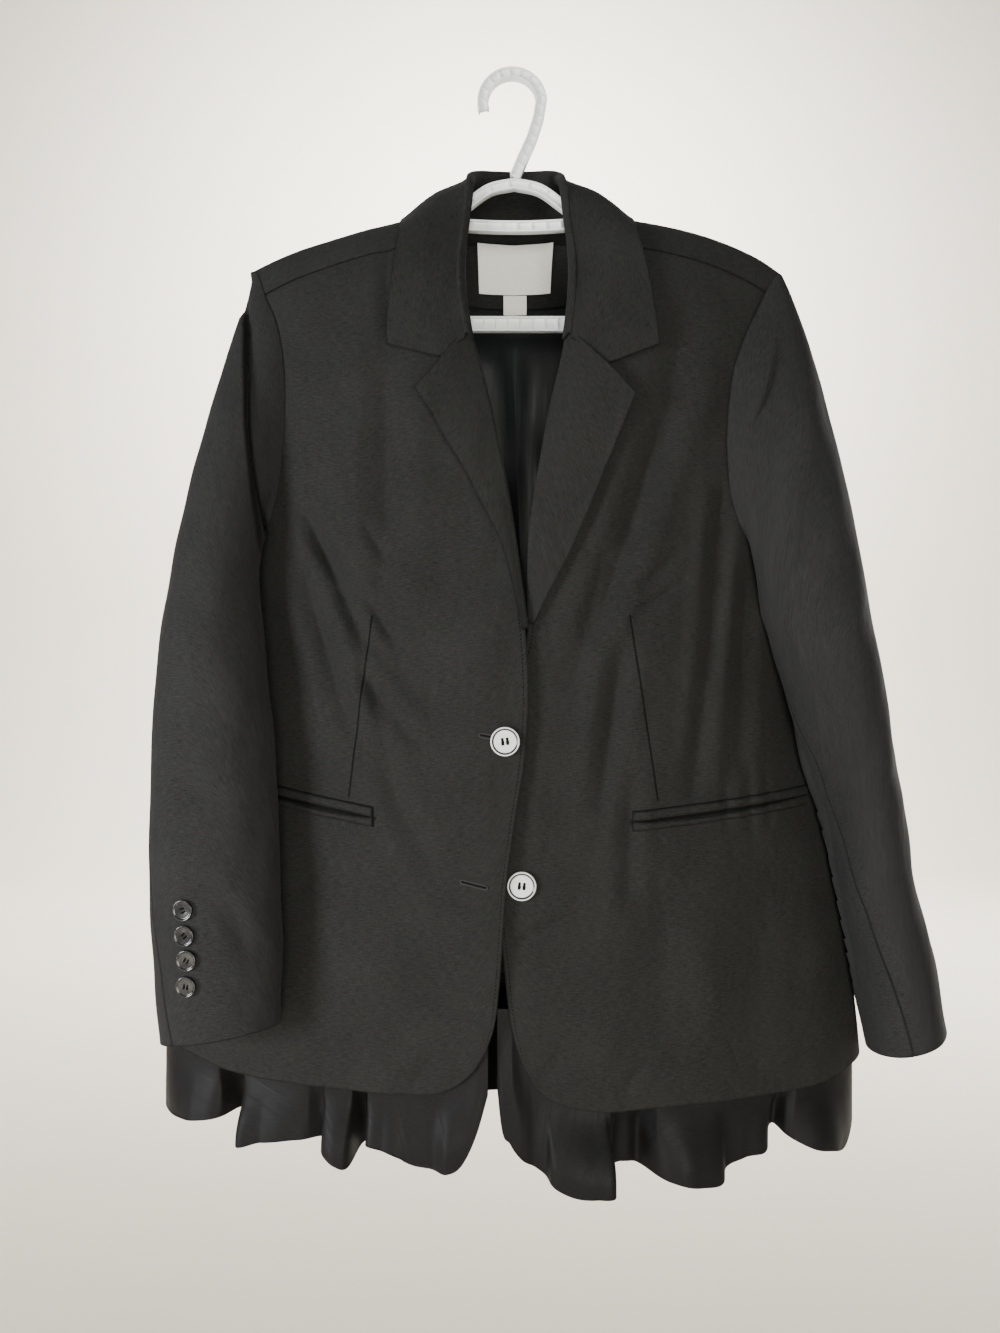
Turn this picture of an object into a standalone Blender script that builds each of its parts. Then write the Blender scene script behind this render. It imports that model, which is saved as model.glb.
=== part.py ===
"""Notch-lapel blazer with a flounced hem, hanging on a moulded hanger.

Metres, +Z up. The origin is the seat inside the top of the hanger's hook. The front faces -Y, and the
wearer's right is at -X. A drop is a distance below the origin. Every cloth piece is a grid laid on one
form: a turn of -1 or 1 is a side seam, 0 is the centre line, a fall of 0 is the ridge of the shoulder,
1 is level with the underarm, and more than 1 is further down.
"""
import math

import bpy
import numpy as np
from mathutils import Vector


def table(names, *rows):
    """Rows of sizes under their column names."""
    return dict(zip(names.split(), np.array(rows, float).T))


# Wall thicknesses and clearances
SHELL_WALL = 0.0016
LAPEL_WALL = 0.0020
COLLAR_WALL = 0.0020
WELT_WALL = 0.0012
FLOUNCE_WALL = 0.0011
LINING_WALL = 0.0010
LABEL_WALL = 0.0010
LIE_GAP = 0.0006

# Body sections from the underarm to below the hem
UNDERARM = 0.400
BODY = table("drop right left front back side full",
             (0.400, 0.225, 0.226, 0.066, 0.050, 0.010, 3.0),
             (0.480, 0.228, 0.230, 0.070, 0.050, 0.016, 2.6),
             (0.540, 0.234, 0.2390, 0.071, 0.050, 0.020, 2.3),
             (0.600, 0.246, 0.2545, 0.070, 0.051, 0.022, 2.1),
             (0.720, 0.276, 0.2795, 0.068, 0.052, 0.024, 2.0),
             (0.810, 0.302, 0.2895, 0.065, 0.053, 0.024, 2.0),
             (0.890, 0.306, 0.293, 0.065, 0.054, 0.024, 2.0))
FRONT_POWER = 0.75
BACK_FULL = 4.0
BACK_POWER = 0.60
FALL_STEP = 0.39
SIDE_TURN = 0.99

# Ridge of the shoulders: its drop on each side, and how far behind the hanger it lies at the neck
RIDGE = table("x right left behind",
              (0.000, 0.1080, 0.1080, 0.046),
              (0.030, 0.1070, 0.1070, 0.040),
              (0.055, 0.1070, 0.1070, 0.020),
              (0.075, 0.1115, 0.1110, 0.006),
              (0.090, 0.1190, 0.1175, 0.000),
              (0.120, 0.1263, 0.1230, 0.000),
              (0.150, 0.1350, 0.1300, 0.000),
              (0.180, 0.1445, 0.1405, 0.000),
              (0.200, 0.1530, 0.1500, 0.000),
              (0.215, 0.1605, 0.1600, 0.000),
              (0.235, 0.1730, 0.1760, 0.000))
SEAM_FALL = 0.30
SEAM_SPLIT = 0.004
SHOULDER_END = 0.98

# The back's neckline: its fall at shares of the way from the centre to the shoulder's end
NECKLINE = table("share fall", (0.0, 0.090), (0.125, 0.060), (0.209, -0.066), (0.262, -0.160),
                 (0.300, -0.298), (1.0, -0.298))
BACK_LOW_SHARE = 0.35
BACK_CROWD = 1.5

# Front edges, from the shoulder's neck end, down the roll line and the lap, to the rounded corner
RIGHT_EDGE = table("x drop",
                   (-0.0580, 0.1120), (-0.0520, 0.1400), (-0.0490, 0.1750), (-0.0450, 0.2030),
                   (-0.0385, 0.2260), (-0.0230, 0.2780), (-0.0104, 0.3385), (-0.0028, 0.3830),
                   (0.0080, 0.4620), (0.0097, 0.5000), (0.0065, 0.5540), (0.0000, 0.5950),
                   (-0.0060, 0.6380), (-0.0096, 0.6850), (-0.0127, 0.7270), (-0.0165, 0.7550),
                   (-0.0220, 0.7710), (-0.0315, 0.7880))
LEFT_EDGE = table("x drop",
                  (0.0590, 0.1120), (0.0540, 0.1400), (0.0515, 0.1650), (0.0490, 0.2000),
                  (0.0427, 0.2276), (0.0324, 0.2710), (0.0193, 0.3380), (0.0139, 0.3720),
                  (0.0105, 0.4200), (0.0060, 0.4700), (-0.0140, 0.5100), (-0.0260, 0.5500),
                  (-0.0220, 0.6000), (-0.0160, 0.6480), (-0.0095, 0.7050), (-0.0030, 0.7570),
                  (0.0020, 0.7760), (0.0150, 0.8030))
RIGHT_HEM = table("x drop",
                  (-0.0315, 0.7880), (-0.0450, 0.8005), (-0.0600, 0.8070), (-0.0890, 0.8095),
                  (-0.1285, 0.8090), (-0.1700, 0.8070), (-0.2230, 0.8050), (-0.2606, 0.7970),
                  (-0.2960, 0.7870))
LEFT_HEM = table("x drop",
                 (0.0150, 0.8030), (0.0270, 0.8130), (0.0490, 0.8210), (0.0648, 0.8235),
                 (0.1040, 0.8225), (0.1440, 0.8223), (0.1970, 0.8220), (0.2336, 0.8217),
                 (0.2766, 0.8130), (0.2885, 0.8050))
BACK_HEM_DROP = 0.7840

# Armhole seams, from the shoulder down to the underarm
RIGHT_ARMHOLE = table("x drop",
                      (-0.2125, 0.1592), (-0.2017, 0.1820), (-0.1900, 0.2110), (-0.1840, 0.2430),
                      (-0.1825, 0.2775), (-0.1840, 0.3050), (-0.1880, 0.3360), (-0.1960, 0.3640),
                      (-0.2070, 0.3860), (-0.2230, 0.3980))
LEFT_ARMHOLE = table("x drop",
                     (0.2175, 0.1617), (0.1990, 0.1870), (0.1820, 0.2220), (0.1726, 0.2480),
                     (0.1680, 0.2775), (0.1660, 0.3140), (0.1690, 0.3450), (0.1780, 0.3720),
                     (0.1950, 0.3900), (0.2240, 0.3985))
BACK_ARMHOLE = table("x drop",
                     (0.2150, 0.1605), (0.2060, 0.2000), (0.2000, 0.2500), (0.1990, 0.3000),
                     (0.2030, 0.3450), (0.2110, 0.3780), (0.2235, 0.3982))
UNDERARM_SHARE = 0.50

# The right front laps over the left one, and both press apart there
LAP_LIFT = 0.0042
LAP_SINK = 0.0026
LAP_X = (-0.075, -0.015)
LAP_SINK_X = (0.075, 0.020)
LAP_DROP = (0.385, 0.455)

# The largest soft folds of the fronts: from one end to the other, half width, and depth into the cloth
FRONT_FOLDS = table("x drop to_x to_drop half depth",
                    (-0.190, 0.345, -0.060, 0.520, 0.020, 0.0035),
                    (-0.140, 0.330, -0.085, 0.480, 0.016, -0.0025),
                    (-0.060, 0.420, -0.050, 0.620, 0.018, 0.0030),
                    (-0.170, 0.640, -0.120, 0.800, 0.024, 0.0030),
                    (0.140, 0.190, 0.050, 0.450, 0.018, 0.0030),
                    (0.165, 0.330, 0.080, 0.450, 0.020, 0.0030),
                    (0.060, 0.520, 0.070, 0.700, 0.020, 0.0025),
                    (0.170, 0.640, 0.150, 0.810, 0.024, 0.0030))

# Lapels: sections from the roll line out to the edge, from the gorge down to the break
RIGHT_LAPEL = table("roll_x roll_drop edge_x edge_drop",
                    (-0.0372, 0.2290, -0.0760, 0.2705), (-0.0305, 0.2480, -0.0680, 0.2850),
                    (-0.0230, 0.2780, -0.0540, 0.3080), (-0.0166, 0.3080, -0.0410, 0.3300),
                    (-0.0104, 0.3385, -0.0270, 0.3560), (-0.0028, 0.3830, -0.0100, 0.3920),
                    (0.0070, 0.4530, 0.0045, 0.4550))
LEFT_LAPEL = table("roll_x roll_drop edge_x edge_drop",
                   (0.0414, 0.2305, 0.0918, 0.2752), (0.0380, 0.2490, 0.0860, 0.2920),
                   (0.0324, 0.2710, 0.0780, 0.3120), (0.0258, 0.3020, 0.0670, 0.3380),
                   (0.0193, 0.3380, 0.0540, 0.3680), (0.0139, 0.3720, 0.0420, 0.3940),
                   (0.0115, 0.4200, 0.0220, 0.4330), (0.0115, 0.4480, 0.0140, 0.4510))
LAPEL_LIFT = (0.0008, 0.0042)

# Collar, from the centre back round to the gorge: its roll, its outer edge, and its seam to the neck
COLLAR = table("roll_right roll_left roll_y roll_drop edge_right edge_left edge_drop face "
               "neck_x neck_y neck_drop",
               (0.0000, 0.0000, 0.047, 0.0570, 0.0000, 0.0000, 0.1180, 1.0, 0.0000, 0.0450, 0.1060),
               (0.0260, 0.0260, 0.040, 0.0590, 0.0430, 0.0450, 0.1170, 1.0, 0.0280, 0.0395, 0.1050),
               (0.0360, 0.0370, 0.020, 0.0690, 0.0700, 0.0730, 0.1140, 1.0, 0.0490, 0.0230, 0.1020),
               (0.0375, 0.0405, -0.006, 0.0870, 0.0860, 0.0895, 0.1178, 1.0, 0.0560, 0.0010, 0.0950),
               (0.0410, 0.0440, -0.018, 0.1240, 0.0915, 0.0965, 0.1400, -1.0, 0.0530, -0.0115, 0.1060),
               (0.0440, 0.0470, -0.030, 0.1570, 0.0940, 0.1030, 0.1710, -1.0, 0.0472, -0.0220, 0.1570),
               (0.0432, 0.0460, -0.042, 0.1840, 0.0965, 0.1070, 0.2040, -1.0, 0.0445, -0.0340, 0.1840),
               (0.0375, 0.0417, -0.053, 0.2250, 0.0987, 0.1093, 0.2340, -1.0, 0.0345, -0.0455, 0.2245))
COLLAR_LIFT = 0.0060
COLLAR_ROLL = 0.0030
COLLAR_SINK = 0.0035
COLLAR_ROWS = np.array([0.0, 0.17, 0.34, 0.40, 0.46, 0.58, 0.70, 0.85, 1.0])
COLLAR_STATIONS = [0, 1, 2, 3, 4, 6, 8]
COLLAR_ARCH = (0.0050, 0.0025)
NOTCH = table("x drop", (-0.0580, 0.2460), (0.0707, 0.2510))

# Sleeves: sections below the cap, then the slant of the cuff
RIGHT_SLEEVE = table("drop x y half_width half_depth",
                     (0.445, -0.2358, -0.042, 0.0368, 0.036), (0.500, -0.2348, -0.049, 0.0422, 0.032),
                     (0.555, -0.2323, -0.053, 0.0458, 0.030), (0.610, -0.2315, -0.055, 0.0475, 0.028),
                     (0.665, -0.2300, -0.056, 0.0485, 0.027), (0.717, -0.2277, -0.057, 0.0471, 0.026),
                     (0.762, -0.2264, -0.057, 0.0444, 0.025))
LEFT_SLEEVE = table("drop x y half_width half_depth",
                    (0.445, 0.2394, -0.027, 0.0414, 0.037), (0.500, 0.2548, -0.022, 0.0372, 0.040),
                    (0.555, 0.2705, -0.012, 0.0332, 0.042), (0.610, 0.2865, -0.004, 0.0282, 0.043),
                    (0.665, 0.2970, 0.001, 0.0274, 0.043), (0.717, 0.3098, 0.003, 0.0289, 0.043),
                    (0.786, 0.3213, 0.004, 0.0284, 0.042))
CUFF_SLANT = {"right": 0.17, "left": -0.20}
CUFF_SLANT_FROM = 0.65
CAP_SHARE = 0.40
CAP_PULL = 0.70
SLEEVE_NEXT = 0.020
CAP_LEAN = {"right": 0.13, "left": 0.45}
UNDERARM_LEAN = 0.20
SLEEVE_TWIST = 0.95
TWIST_DROP = (0.445, 0.560)
SLEEVE_CLEAR = {"right": 0.0080, "left": 0.0045}
SLEEVE_START = 0.0018
UNDERARM_START = 0.0045
ARMHOLE_EASE = 0.012
SEAM_MARGIN = 0.0016

# Sleeve seams: their share of the way round at the armhole and the cuff, and how they bend between
SLEEVE_SEAMS = {"right_back": table("armhole cuff span bend", (-0.14, 0.13, 1.0, 1.0)),
                "right_front": table("armhole cuff span bend", (0.43, 0.70, 1.0, 1.0)),
                "left_back": table("armhole cuff span bend", (-0.22, -0.30, 1.0, 1.0)),
                "left_front": table("armhole cuff span bend", (0.44, 0.292, 0.32, 1.3))}

# Pockets: two welts each, from the inner end to the outer end
POCKETS = {"right": table("x drop", (-0.109, 0.597), (-0.226, 0.578)),
           "left": table("x drop", (0.090, 0.600), (0.240, 0.587))}
WELT_HEIGHT = 0.0066
WELT_SLIT = 0.0008

# Flounces: folds along the hem, how far the bottom stands out, and its drop
RIGHT_FLOUNCE = table("x out drop",
                      (-0.0210, 0.000, 0.8060), (-0.0290, 0.004, 0.8350), (-0.0392, 0.006, 0.8578),
                      (-0.0512, 0.009, 0.8651), (-0.0758, 0.006, 0.8615), (-0.1002, 0.008, 0.8514),
                      (-0.1168, 0.000, 0.8493), (-0.1240, -0.016, 0.8560), (-0.1342, 0.012, 0.8630),
                      (-0.1500, 0.002, 0.8545), (-0.1671, 0.006, 0.8501), (-0.1961, 0.010, 0.8537),
                      (-0.2211, 0.006, 0.8563), (-0.2340, -0.014, 0.8438), (-0.2497, 0.004, 0.8441),
                      (-0.2658, 0.010, 0.8485), (-0.2990, 0.000, 0.8494))
LEFT_FLOUNCE = table("x out drop",
                     (-0.0142, 0.000, 0.8030), (-0.0119, 0.002, 0.8260), (-0.0042, 0.004, 0.8450),
                     (0.0032, 0.005, 0.8554), (0.0213, 0.008, 0.8678), (0.0391, 0.014, 0.8790),
                     (0.0675, 0.018, 0.8812), (0.0767, 0.010, 0.8750), (0.0851, -0.010, 0.8672),
                     (0.1042, -0.016, 0.8720), (0.1203, 0.004, 0.8766), (0.1413, 0.012, 0.8811),
                     (0.1599, 0.008, 0.8807), (0.1796, 0.002, 0.8675), (0.2002, 0.002, 0.8636),
                     (0.2183, -0.012, 0.8519), (0.2306, -0.004, 0.8614), (0.2467, 0.010, 0.8710),
                     (0.2689, 0.004, 0.8772), (0.2880, 0.000, 0.8634))
BACK_FLOUNCE = table("x out drop",
                     (-0.2990, 0.000, 0.8494), (-0.2500, 0.008, 0.8470), (-0.2150, -0.014, 0.8400),
                     (-0.1700, 0.010, 0.8480), (-0.1250, -0.012, 0.8420), (-0.0750, 0.010, 0.8490),
                     (-0.0300, -0.012, 0.8440), (0.0200, 0.009, 0.8500), (0.0650, -0.013, 0.8450),
                     (0.1150, 0.010, 0.8520), (0.1600, -0.012, 0.8470), (0.2050, 0.010, 0.8560),
                     (0.2400, -0.012, 0.8590), (0.2880, 0.000, 0.8634))
FLOUNCE_TUCK = 0.014
FLOUNCE_INSET = 0.0013
FLOUNCE_SIDE_INSET = 0.0030
FLOUNCE_TURN = 0.90
FLOUNCE_FREE = 0.070

# Inside the neck
FACING_U = (0.30, 0.70)
FACING_FALL = (0.170, 0.440)
FACING_DIP = 1.60
LINING_FALL = (0.446, 1.885)
LINING_U = 0.35
PLEAT_LAP = 0.045
FACING_GAP = 0.0026
LINING_GAP = 0.0009
LABEL_GAP = 0.0012
LABEL = {"middle": 0.003, "reach": 0.124, "falls": (0.187, 0.397)}
TAB = {"middle": 0.004, "reach": 0.039, "falls": (0.400, 0.459)}

# Buttons: radius and height of the turned profile, from the middle of the face down the outer side
FRONT_BUTTON = table("radius height", (0.0000, 0.0022), (0.0072, 0.0022), (0.0084, 0.0034),
                     (0.0100, 0.0035), (0.0110, 0.0022), (0.0096, 0.0006), (0.0060, 0.0000), (0.0, 0.0))
CUFF_BUTTON_SCALE = 0.71
FRONT_BUTTONS = table("x drop", (-0.0082, 0.538), (0.0046, 0.648))
RIGHT_CUFF_BUTTONS = table("x drop", (-0.2472, 0.6617), (-0.2460, 0.6801), (-0.2442, 0.6981),
                           (-0.2447, 0.7173))
LEFT_CUFF_ROUND = 0.76
BUTTON_GAP = 0.0004
BUTTON_SIDES = 16

# Hanger, moulded flat: the hook's ring, and centre lines of its bars
HANGER_DEPTH = 0.008
HOOK_CENTRE = (-0.002, -0.0200)
HOOK_RADIUS = 0.0240
HOOK_HALF = 0.0045
HOOK_ARC = (196.0, 4.0)
HOOK_STEM = table("x drop", (0.0195, 0.0330), (0.0139, 0.0500), (0.0070, 0.0655), (0.0003, 0.0811))
ARM = table("x drop", (0.000, 0.0868), (0.020, 0.0912), (0.038, 0.1035), (0.060, 0.1200), (0.090, 0.1305),
            (0.120, 0.1350), (0.150, 0.1432), (0.178, 0.1532), (0.192, 0.1622), (0.199, 0.1750),
            (0.200, 0.1950))
ARM_HALF = 0.0042
NECK_BAR = {"reach": 0.0460, "drop": 0.1200, "dip": 0.0020, "half": 0.0045}
BOTTOM_BAR = {"reach": 0.2050, "drop": 0.2015, "half": 0.0060}

# Finishes: colour, roughness, metallic
FINISHES = {"suiting": ((0.038, 0.038, 0.036), 0.85, 0.0),
            "satin": ((0.030, 0.029, 0.030), 0.45, 0.0),
            "lining": ((0.016, 0.020, 0.022), 0.30, 0.0),
            "label": ((0.750, 0.740, 0.680), 0.80, 0.0),
            "pale button": ((0.700, 0.710, 0.720), 0.35, 0.0),
            "dark button": ((0.012, 0.012, 0.014), 0.20, 0.0),
            "hanger": ((0.860, 0.880, 0.880), 0.30, 0.0)}


# Scene and materials
for stale in list(bpy.data.objects):
    bpy.data.objects.remove(stale)
BLAZER = bpy.data.collections.new("blazer_on_hanger")
bpy.context.scene.collection.children.link(BLAZER)


def finish(name):
    """The material of one finish, made once."""
    material = bpy.data.materials.get(name)
    if material is None:
        colour, roughness, metallic = FINISHES[name]
        material = bpy.data.materials.new(name)
        material.use_nodes = True
        shader = material.node_tree.nodes["Principled BSDF"]
        shader.inputs["Base Color"].default_value = (*colour, 1.0)
        shader.inputs["Roughness"].default_value = roughness
        shader.inputs["Metallic"].default_value = metallic
    return material


# Curves and steps
def smooth(knots, values, at):
    """A smooth curve through values that are given at rising knots."""
    at = np.clip(at, knots[0], knots[-1])
    slopes = np.gradient(values, knots)
    low = np.clip(np.searchsorted(knots, at, side="right") - 1, 0, len(knots) - 2)
    span = knots[low + 1] - knots[low]
    part = (at - knots[low]) / span
    rest = 1.0 - part
    start = values[low] * (1.0 + 2.0 * part) * rest ** 2 + slopes[low] * span * part * rest ** 2
    end = values[low + 1] * (3.0 - 2.0 * part) * part ** 2 - slopes[low + 1] * span * rest * part ** 2
    return start + end


def step(limits, at):
    """An eased step from 0 at the first limit to 1 at the second."""
    part = np.clip((at - limits[0]) / (limits[1] - limits[0]), 0.0, 1.0)
    return part * part * (3.0 - 2.0 * part)


def trace(points, like=None):
    """A smooth line through points, by the share of its own length or of a like line's."""
    points = np.asarray(points, float)
    ruler = points if like is None else np.asarray(like, float)
    reach = np.cumsum(np.linalg.norm(np.diff(ruler, axis=0), axis=1))
    knots = np.concatenate(([0.0], reach)) / reach[-1]
    return lambda share: np.stack([smooth(knots, column, share) for column in points.T], axis=-1)


def chain(first, second, share):
    """Two lines end to end, the first one taking a share of the whole."""
    def joined(at):
        early = first(np.clip(at / share, 0.0, 1.0))
        late = second(np.clip((at - share) / (1.0 - share), 0.0, 1.0))
        return np.where((at < share)[:, None], early, late)
    return joined


def patch(bottom, top, inner, outer):
    """A surface stretched between four edges, in turn and fall."""
    ends = np.array([0.0, 1.0])
    (low_in, low_out), (high_in, high_out) = bottom(ends), top(ends)

    def stretched(u, v):
        across, up = u[:, None], v[:, None]
        rows = (1 - up) * bottom(u) + up * top(u)
        columns = (1 - across) * inner(v) + across * outer(v)
        corners = ((1 - up) * ((1 - across) * low_in + across * low_out)
                   + up * ((1 - across) * high_in + across * high_out))
        return rows + columns - corners
    return stretched


# The body's form
def two_sided(rows, knots, at, x):
    """A column that differs from the right side to the left one."""
    return np.where(x < 0.0, smooth(rows[knots], rows["right"], at), smooth(rows[knots], rows["left"], at))


def ridge_drop(x):
    """The drop of the shoulders' ridge."""
    return two_sided(RIDGE, "x", np.abs(x), x)


def folds(x, drop):
    """How far the soft folds press a front in."""
    depth = np.zeros_like(x)
    for row in zip(*FRONT_FOLDS.values()):
        start = np.array(row[0:2])
        way = np.array(row[2:4]) - start
        share = ((x - start[0]) * way[0] + (drop - start[1]) * way[1]) / (way @ way)
        held = np.clip(share, 0.0, 1.0)
        off = np.hypot(x - start[0] - held * way[0], drop - start[1] - held * way[1])
        depth += row[5] * np.exp(-(off / row[4]) ** 2) * np.sin(np.pi * np.clip(0.15 + 0.7 * share, 0, 1))
    return depth


def form(turn, fall, face):
    """Points of the body's form on the front, face -1, or the back, face 1."""
    face = np.where(fall < 0.0, -face, face)
    fall = np.abs(fall)
    below = np.clip(fall - 1.0, 0.0, None) * FALL_STEP + UNDERARM
    half = two_sided(BODY, "drop", below, turn)
    share = np.sin(turn * math.pi / 2)
    x = half * share
    ridge = ridge_drop(x)
    lean = np.clip(fall, 0.0, 1.0) * math.pi / 2
    drop = np.where(fall < 1.0, ridge + (UNDERARM - ridge) * (1 - np.cos(lean)), below)
    front, back, side, full = (smooth(BODY["drop"], BODY[name], below)
                               for name in ("front", "back", "side", "full"))
    width = np.abs(share)
    forward = side - (side + front) * (1 - width ** full) ** FRONT_POWER + folds(x, drop)
    rearward = side + (back - side) * (1 - width ** BACK_FULL) ** BACK_POWER
    behind = smooth(RIDGE["x"], RIDGE["behind"], np.abs(x))
    y = behind + (np.where(face < 0, forward, rearward) - behind) * np.sin(lean)
    return np.stack([x, y, -drop], axis=-1)


def place(x, drop):
    """The turn and fall of points that are given by their x and drop."""
    x, drop = np.asarray(x, float), np.asarray(drop, float)
    half = two_sided(BODY, "drop", np.maximum(drop, UNDERARM), x)
    turn = np.arcsin(np.clip(x / half, -1.0, 1.0)) * 2 / math.pi
    ridge = ridge_drop(x)
    lean = np.arccos(np.clip(1 - (drop - ridge) / (UNDERARM - ridge), 0.0, 1.0))
    return turn, np.where(drop < UNDERARM, lean * 2 / math.pi, 1 + (drop - UNDERARM) / FALL_STEP)


def lap(side, points):
    """Move a front's points out or in where the two fronts lap."""
    x, drop = points[:, 0], -points[:, 2]
    level = step(LAP_DROP, drop)
    if side == "right":
        shift = -LAP_LIFT * step(LAP_X, x) * level
    else:
        shift = LAP_SINK * step(LAP_SINK_X, x) * level
    return points + np.stack([np.zeros_like(x), shift, np.zeros_like(x)], axis=-1)


def lifted(surface, u, v, lift, out):
    """Points of a surface, moved along its normal, on the side where out points."""
    nudge = 0.002
    along = surface(u + nudge, v) - surface(u - nudge, v)
    down = surface(u, v + nudge) - surface(u, v - nudge)
    normal = np.cross(along, down)
    normal /= np.linalg.norm(normal, axis=1, keepdims=True)
    normal *= np.where((normal * out).sum(axis=1, keepdims=True) < 0, -1.0, 1.0)
    return surface(u, v) + normal * np.asarray(lift).reshape(-1, 1)


FRONTWARD = np.array([0.0, -1.0, 0.25])
BACKWARD = np.array([0.0, 1.0, 0.25])


def on_front(side, x, drop, lift):
    """Points that lie off a front by a lift."""
    turn, fall = place(x, drop)
    return lapped_front(side, turn, fall, lift)


def lapped_front(side, turn, fall, lift):
    """Front points from their turn and fall, with the lap and a lift."""
    return lifted(lambda u, v: lap(side, form(u, v, -1.0)), turn, fall, lift, FRONTWARD)


# Making pieces
def keep(made, name, material):
    """Name a piece, give it its finish and put it in the blazer's collection."""
    made.name = name
    made.data.name = name
    made.data.materials.clear()
    made.data.materials.append(finish(material))
    for owner in list(made.users_collection):
        owner.objects.unlink(made)
    BLAZER.objects.link(made)
    return made


def shell(name, surface, columns, rows, wall, material, heart, grow=-1.0):
    """A grid laid on a surface of u and v. Its wall grows towards the heart, or with grow 1 away."""
    bpy.ops.mesh.primitive_grid_add(x_subdivisions=columns, y_subdivisions=rows, size=1.0)
    made = bpy.context.object
    mesh = made.data
    flat = np.empty(len(mesh.vertices) * 3, np.float32)
    mesh.vertices.foreach_get("co", flat)
    u, v = flat.reshape(-1, 3)[:, :2].T.astype(float) + 0.5
    points = surface(np.round(u, 6), np.round(v, 6))
    mesh.vertices.foreach_set("co", points.astype(np.float32).ravel())
    mesh.update()
    outward = sum(((face.center - Vector(heart)) * Vector((1, 1, 0))).dot(face.normal) * face.area
                  for face in mesh.polygons)
    if outward < 0:
        mesh.flip_normals()
    mesh.shade_smooth()
    keep(made, name, material)
    solid = made.modifiers.new("wall", "SOLIDIFY")
    solid.thickness = wall
    solid.offset = grow
    solid.use_even_offset = True
    return made


INSIDE = (0.0, 0.0, -0.5)
BEHIND = (0.0, 5.0, -0.5)


# Fronts
def shoulder_end(armhole, fall):
    """The turn at which a front or the back stops short of the sleeve, at a fall of the armhole."""
    falls = place(armhole["x"], armhole["drop"])[1]
    falls[0] = 0.0
    x, drop = (np.interp(fall, falls, armhole[name]) for name in ("x", "drop"))
    return place(x * SHOULDER_END, drop)[0]


def front_surface(side, edge, hem, armhole):
    """A front, from its hem to the shoulder seam and from its edge to the side seam and armhole."""
    seam_turn = -SIDE_TURN if side == "right" else SIDE_TURN
    edge_line = np.stack(place(edge["x"], edge["drop"]), axis=-1)[::-1]
    hem_line = np.stack(place(hem["x"], hem["drop"]), axis=-1)
    hem_line[-1, 0] = seam_turn
    hole_line = np.stack(place(armhole["x"], armhole["drop"]), axis=-1)[::-1]
    hole_line[0] = (seam_turn, 1.0)
    keep_hole = hole_line[:, 1] > SEAM_FALL + 0.05
    top_out = np.array([[shoulder_end(armhole, SEAM_FALL), SEAM_FALL + SEAM_SPLIT]])
    hole_line = np.concatenate([hole_line[keep_hole], top_out])
    edge_line[-1, 1] = SEAM_FALL + SEAM_SPLIT
    outer = chain(trace([hem_line[-1], hole_line[0]]), trace(hole_line), UNDERARM_SHARE)
    laid = patch(trace(hem_line), trace([edge_line[-1], hole_line[-1]]), trace(edge_line), outer)

    def surface(u, v):
        turn, fall = laid(u, v).T
        return lap(side, form(turn, fall, -1.0))
    return surface


for side, edge, hem, armhole in (("right", RIGHT_EDGE, RIGHT_HEM, RIGHT_ARMHOLE),
                                 ("left", LEFT_EDGE, LEFT_HEM, LEFT_ARMHOLE)):
    laid = front_surface(side, edge, hem, armhole)
    shell(side + "_front", laid, 10, 20, SHELL_WALL, "suiting", INSIDE, 1.0)


# Back
def back_side(sign, armhole):
    """The back's side edge: its turns at rising falls, from the shoulder seam to the side seam."""
    turns, falls = place(sign * BACK_ARMHOLE["x"], BACK_ARMHOLE["drop"])
    falls[0], falls[-1] = 0.0, 1.0
    turns[0], turns[-1] = shoulder_end(armhole, 0.0), sign * SIDE_TURN
    return np.concatenate([[-SEAM_FALL], falls]), np.concatenate([[shoulder_end(armhole, SEAM_FALL)], turns])


BACK_SIDES = {"right": back_side(-1.0, RIGHT_ARMHOLE), "left": back_side(1.0, LEFT_ARMHOLE)}


def on_back(share, fall):
    """Points of the back, at a share of the way from the centre, 0, to its side edges, -1 and 1."""
    right, left = (np.abs(smooth(*BACK_SIDES[side], fall)) for side in ("right", "left"))
    return form(share * np.where(share < 0, right, left), fall, 1.0)


def back_share(u):
    """Columns of the back, closer together near the neck."""
    return np.sign(2 * u - 1) * np.abs(2 * u - 1) ** BACK_CROWD


def back_surface(u, v):
    """The back, from its hem, over the ridge of the shoulders, to the forward shoulder seams."""
    share = back_share(u)
    sides = [place(end["x"][-1], end["drop"][-1])[1] for end in (RIGHT_HEM, LEFT_HEM)]
    middle = place(0.0, BACK_HEM_DROP)[1]
    hem = middle + (np.where(share < 0, *sides) - middle) * step((0.5, 1.0), np.abs(share))
    top = np.interp(np.abs(share), NECKLINE["share"], NECKLINE["fall"])
    low = hem + (1 - hem) * v / BACK_LOW_SHARE
    high = 1 + (top - 1) * (v - BACK_LOW_SHARE) / (1 - BACK_LOW_SHARE)
    return on_back(share, np.where(v < BACK_LOW_SHARE, low, high))


shell("back", back_surface, 20, 25, SHELL_WALL, "suiting", INSIDE, 1.0)


# Sleeves
def sleeve_ring(rows, side, drop, around):
    """Points of a sleeve's section. around is 0 outside, 0.25 in front and 0.5 at the underarm."""
    sign = -1.0 if side == "right" else 1.0
    x, y, half_width, half_depth = (smooth(rows["drop"], rows[name], drop)
                                    for name in ("x", "y", "half_width", "half_depth"))
    twist = SLEEVE_TWIST * np.sin(math.pi * around) ** 2 * (1 - step(TWIST_DROP, drop))
    angle = around * 2 * math.pi + twist
    return np.stack([x + sign * half_width * np.cos(angle), y - half_depth * np.sin(angle), -drop], axis=-1)


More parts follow.
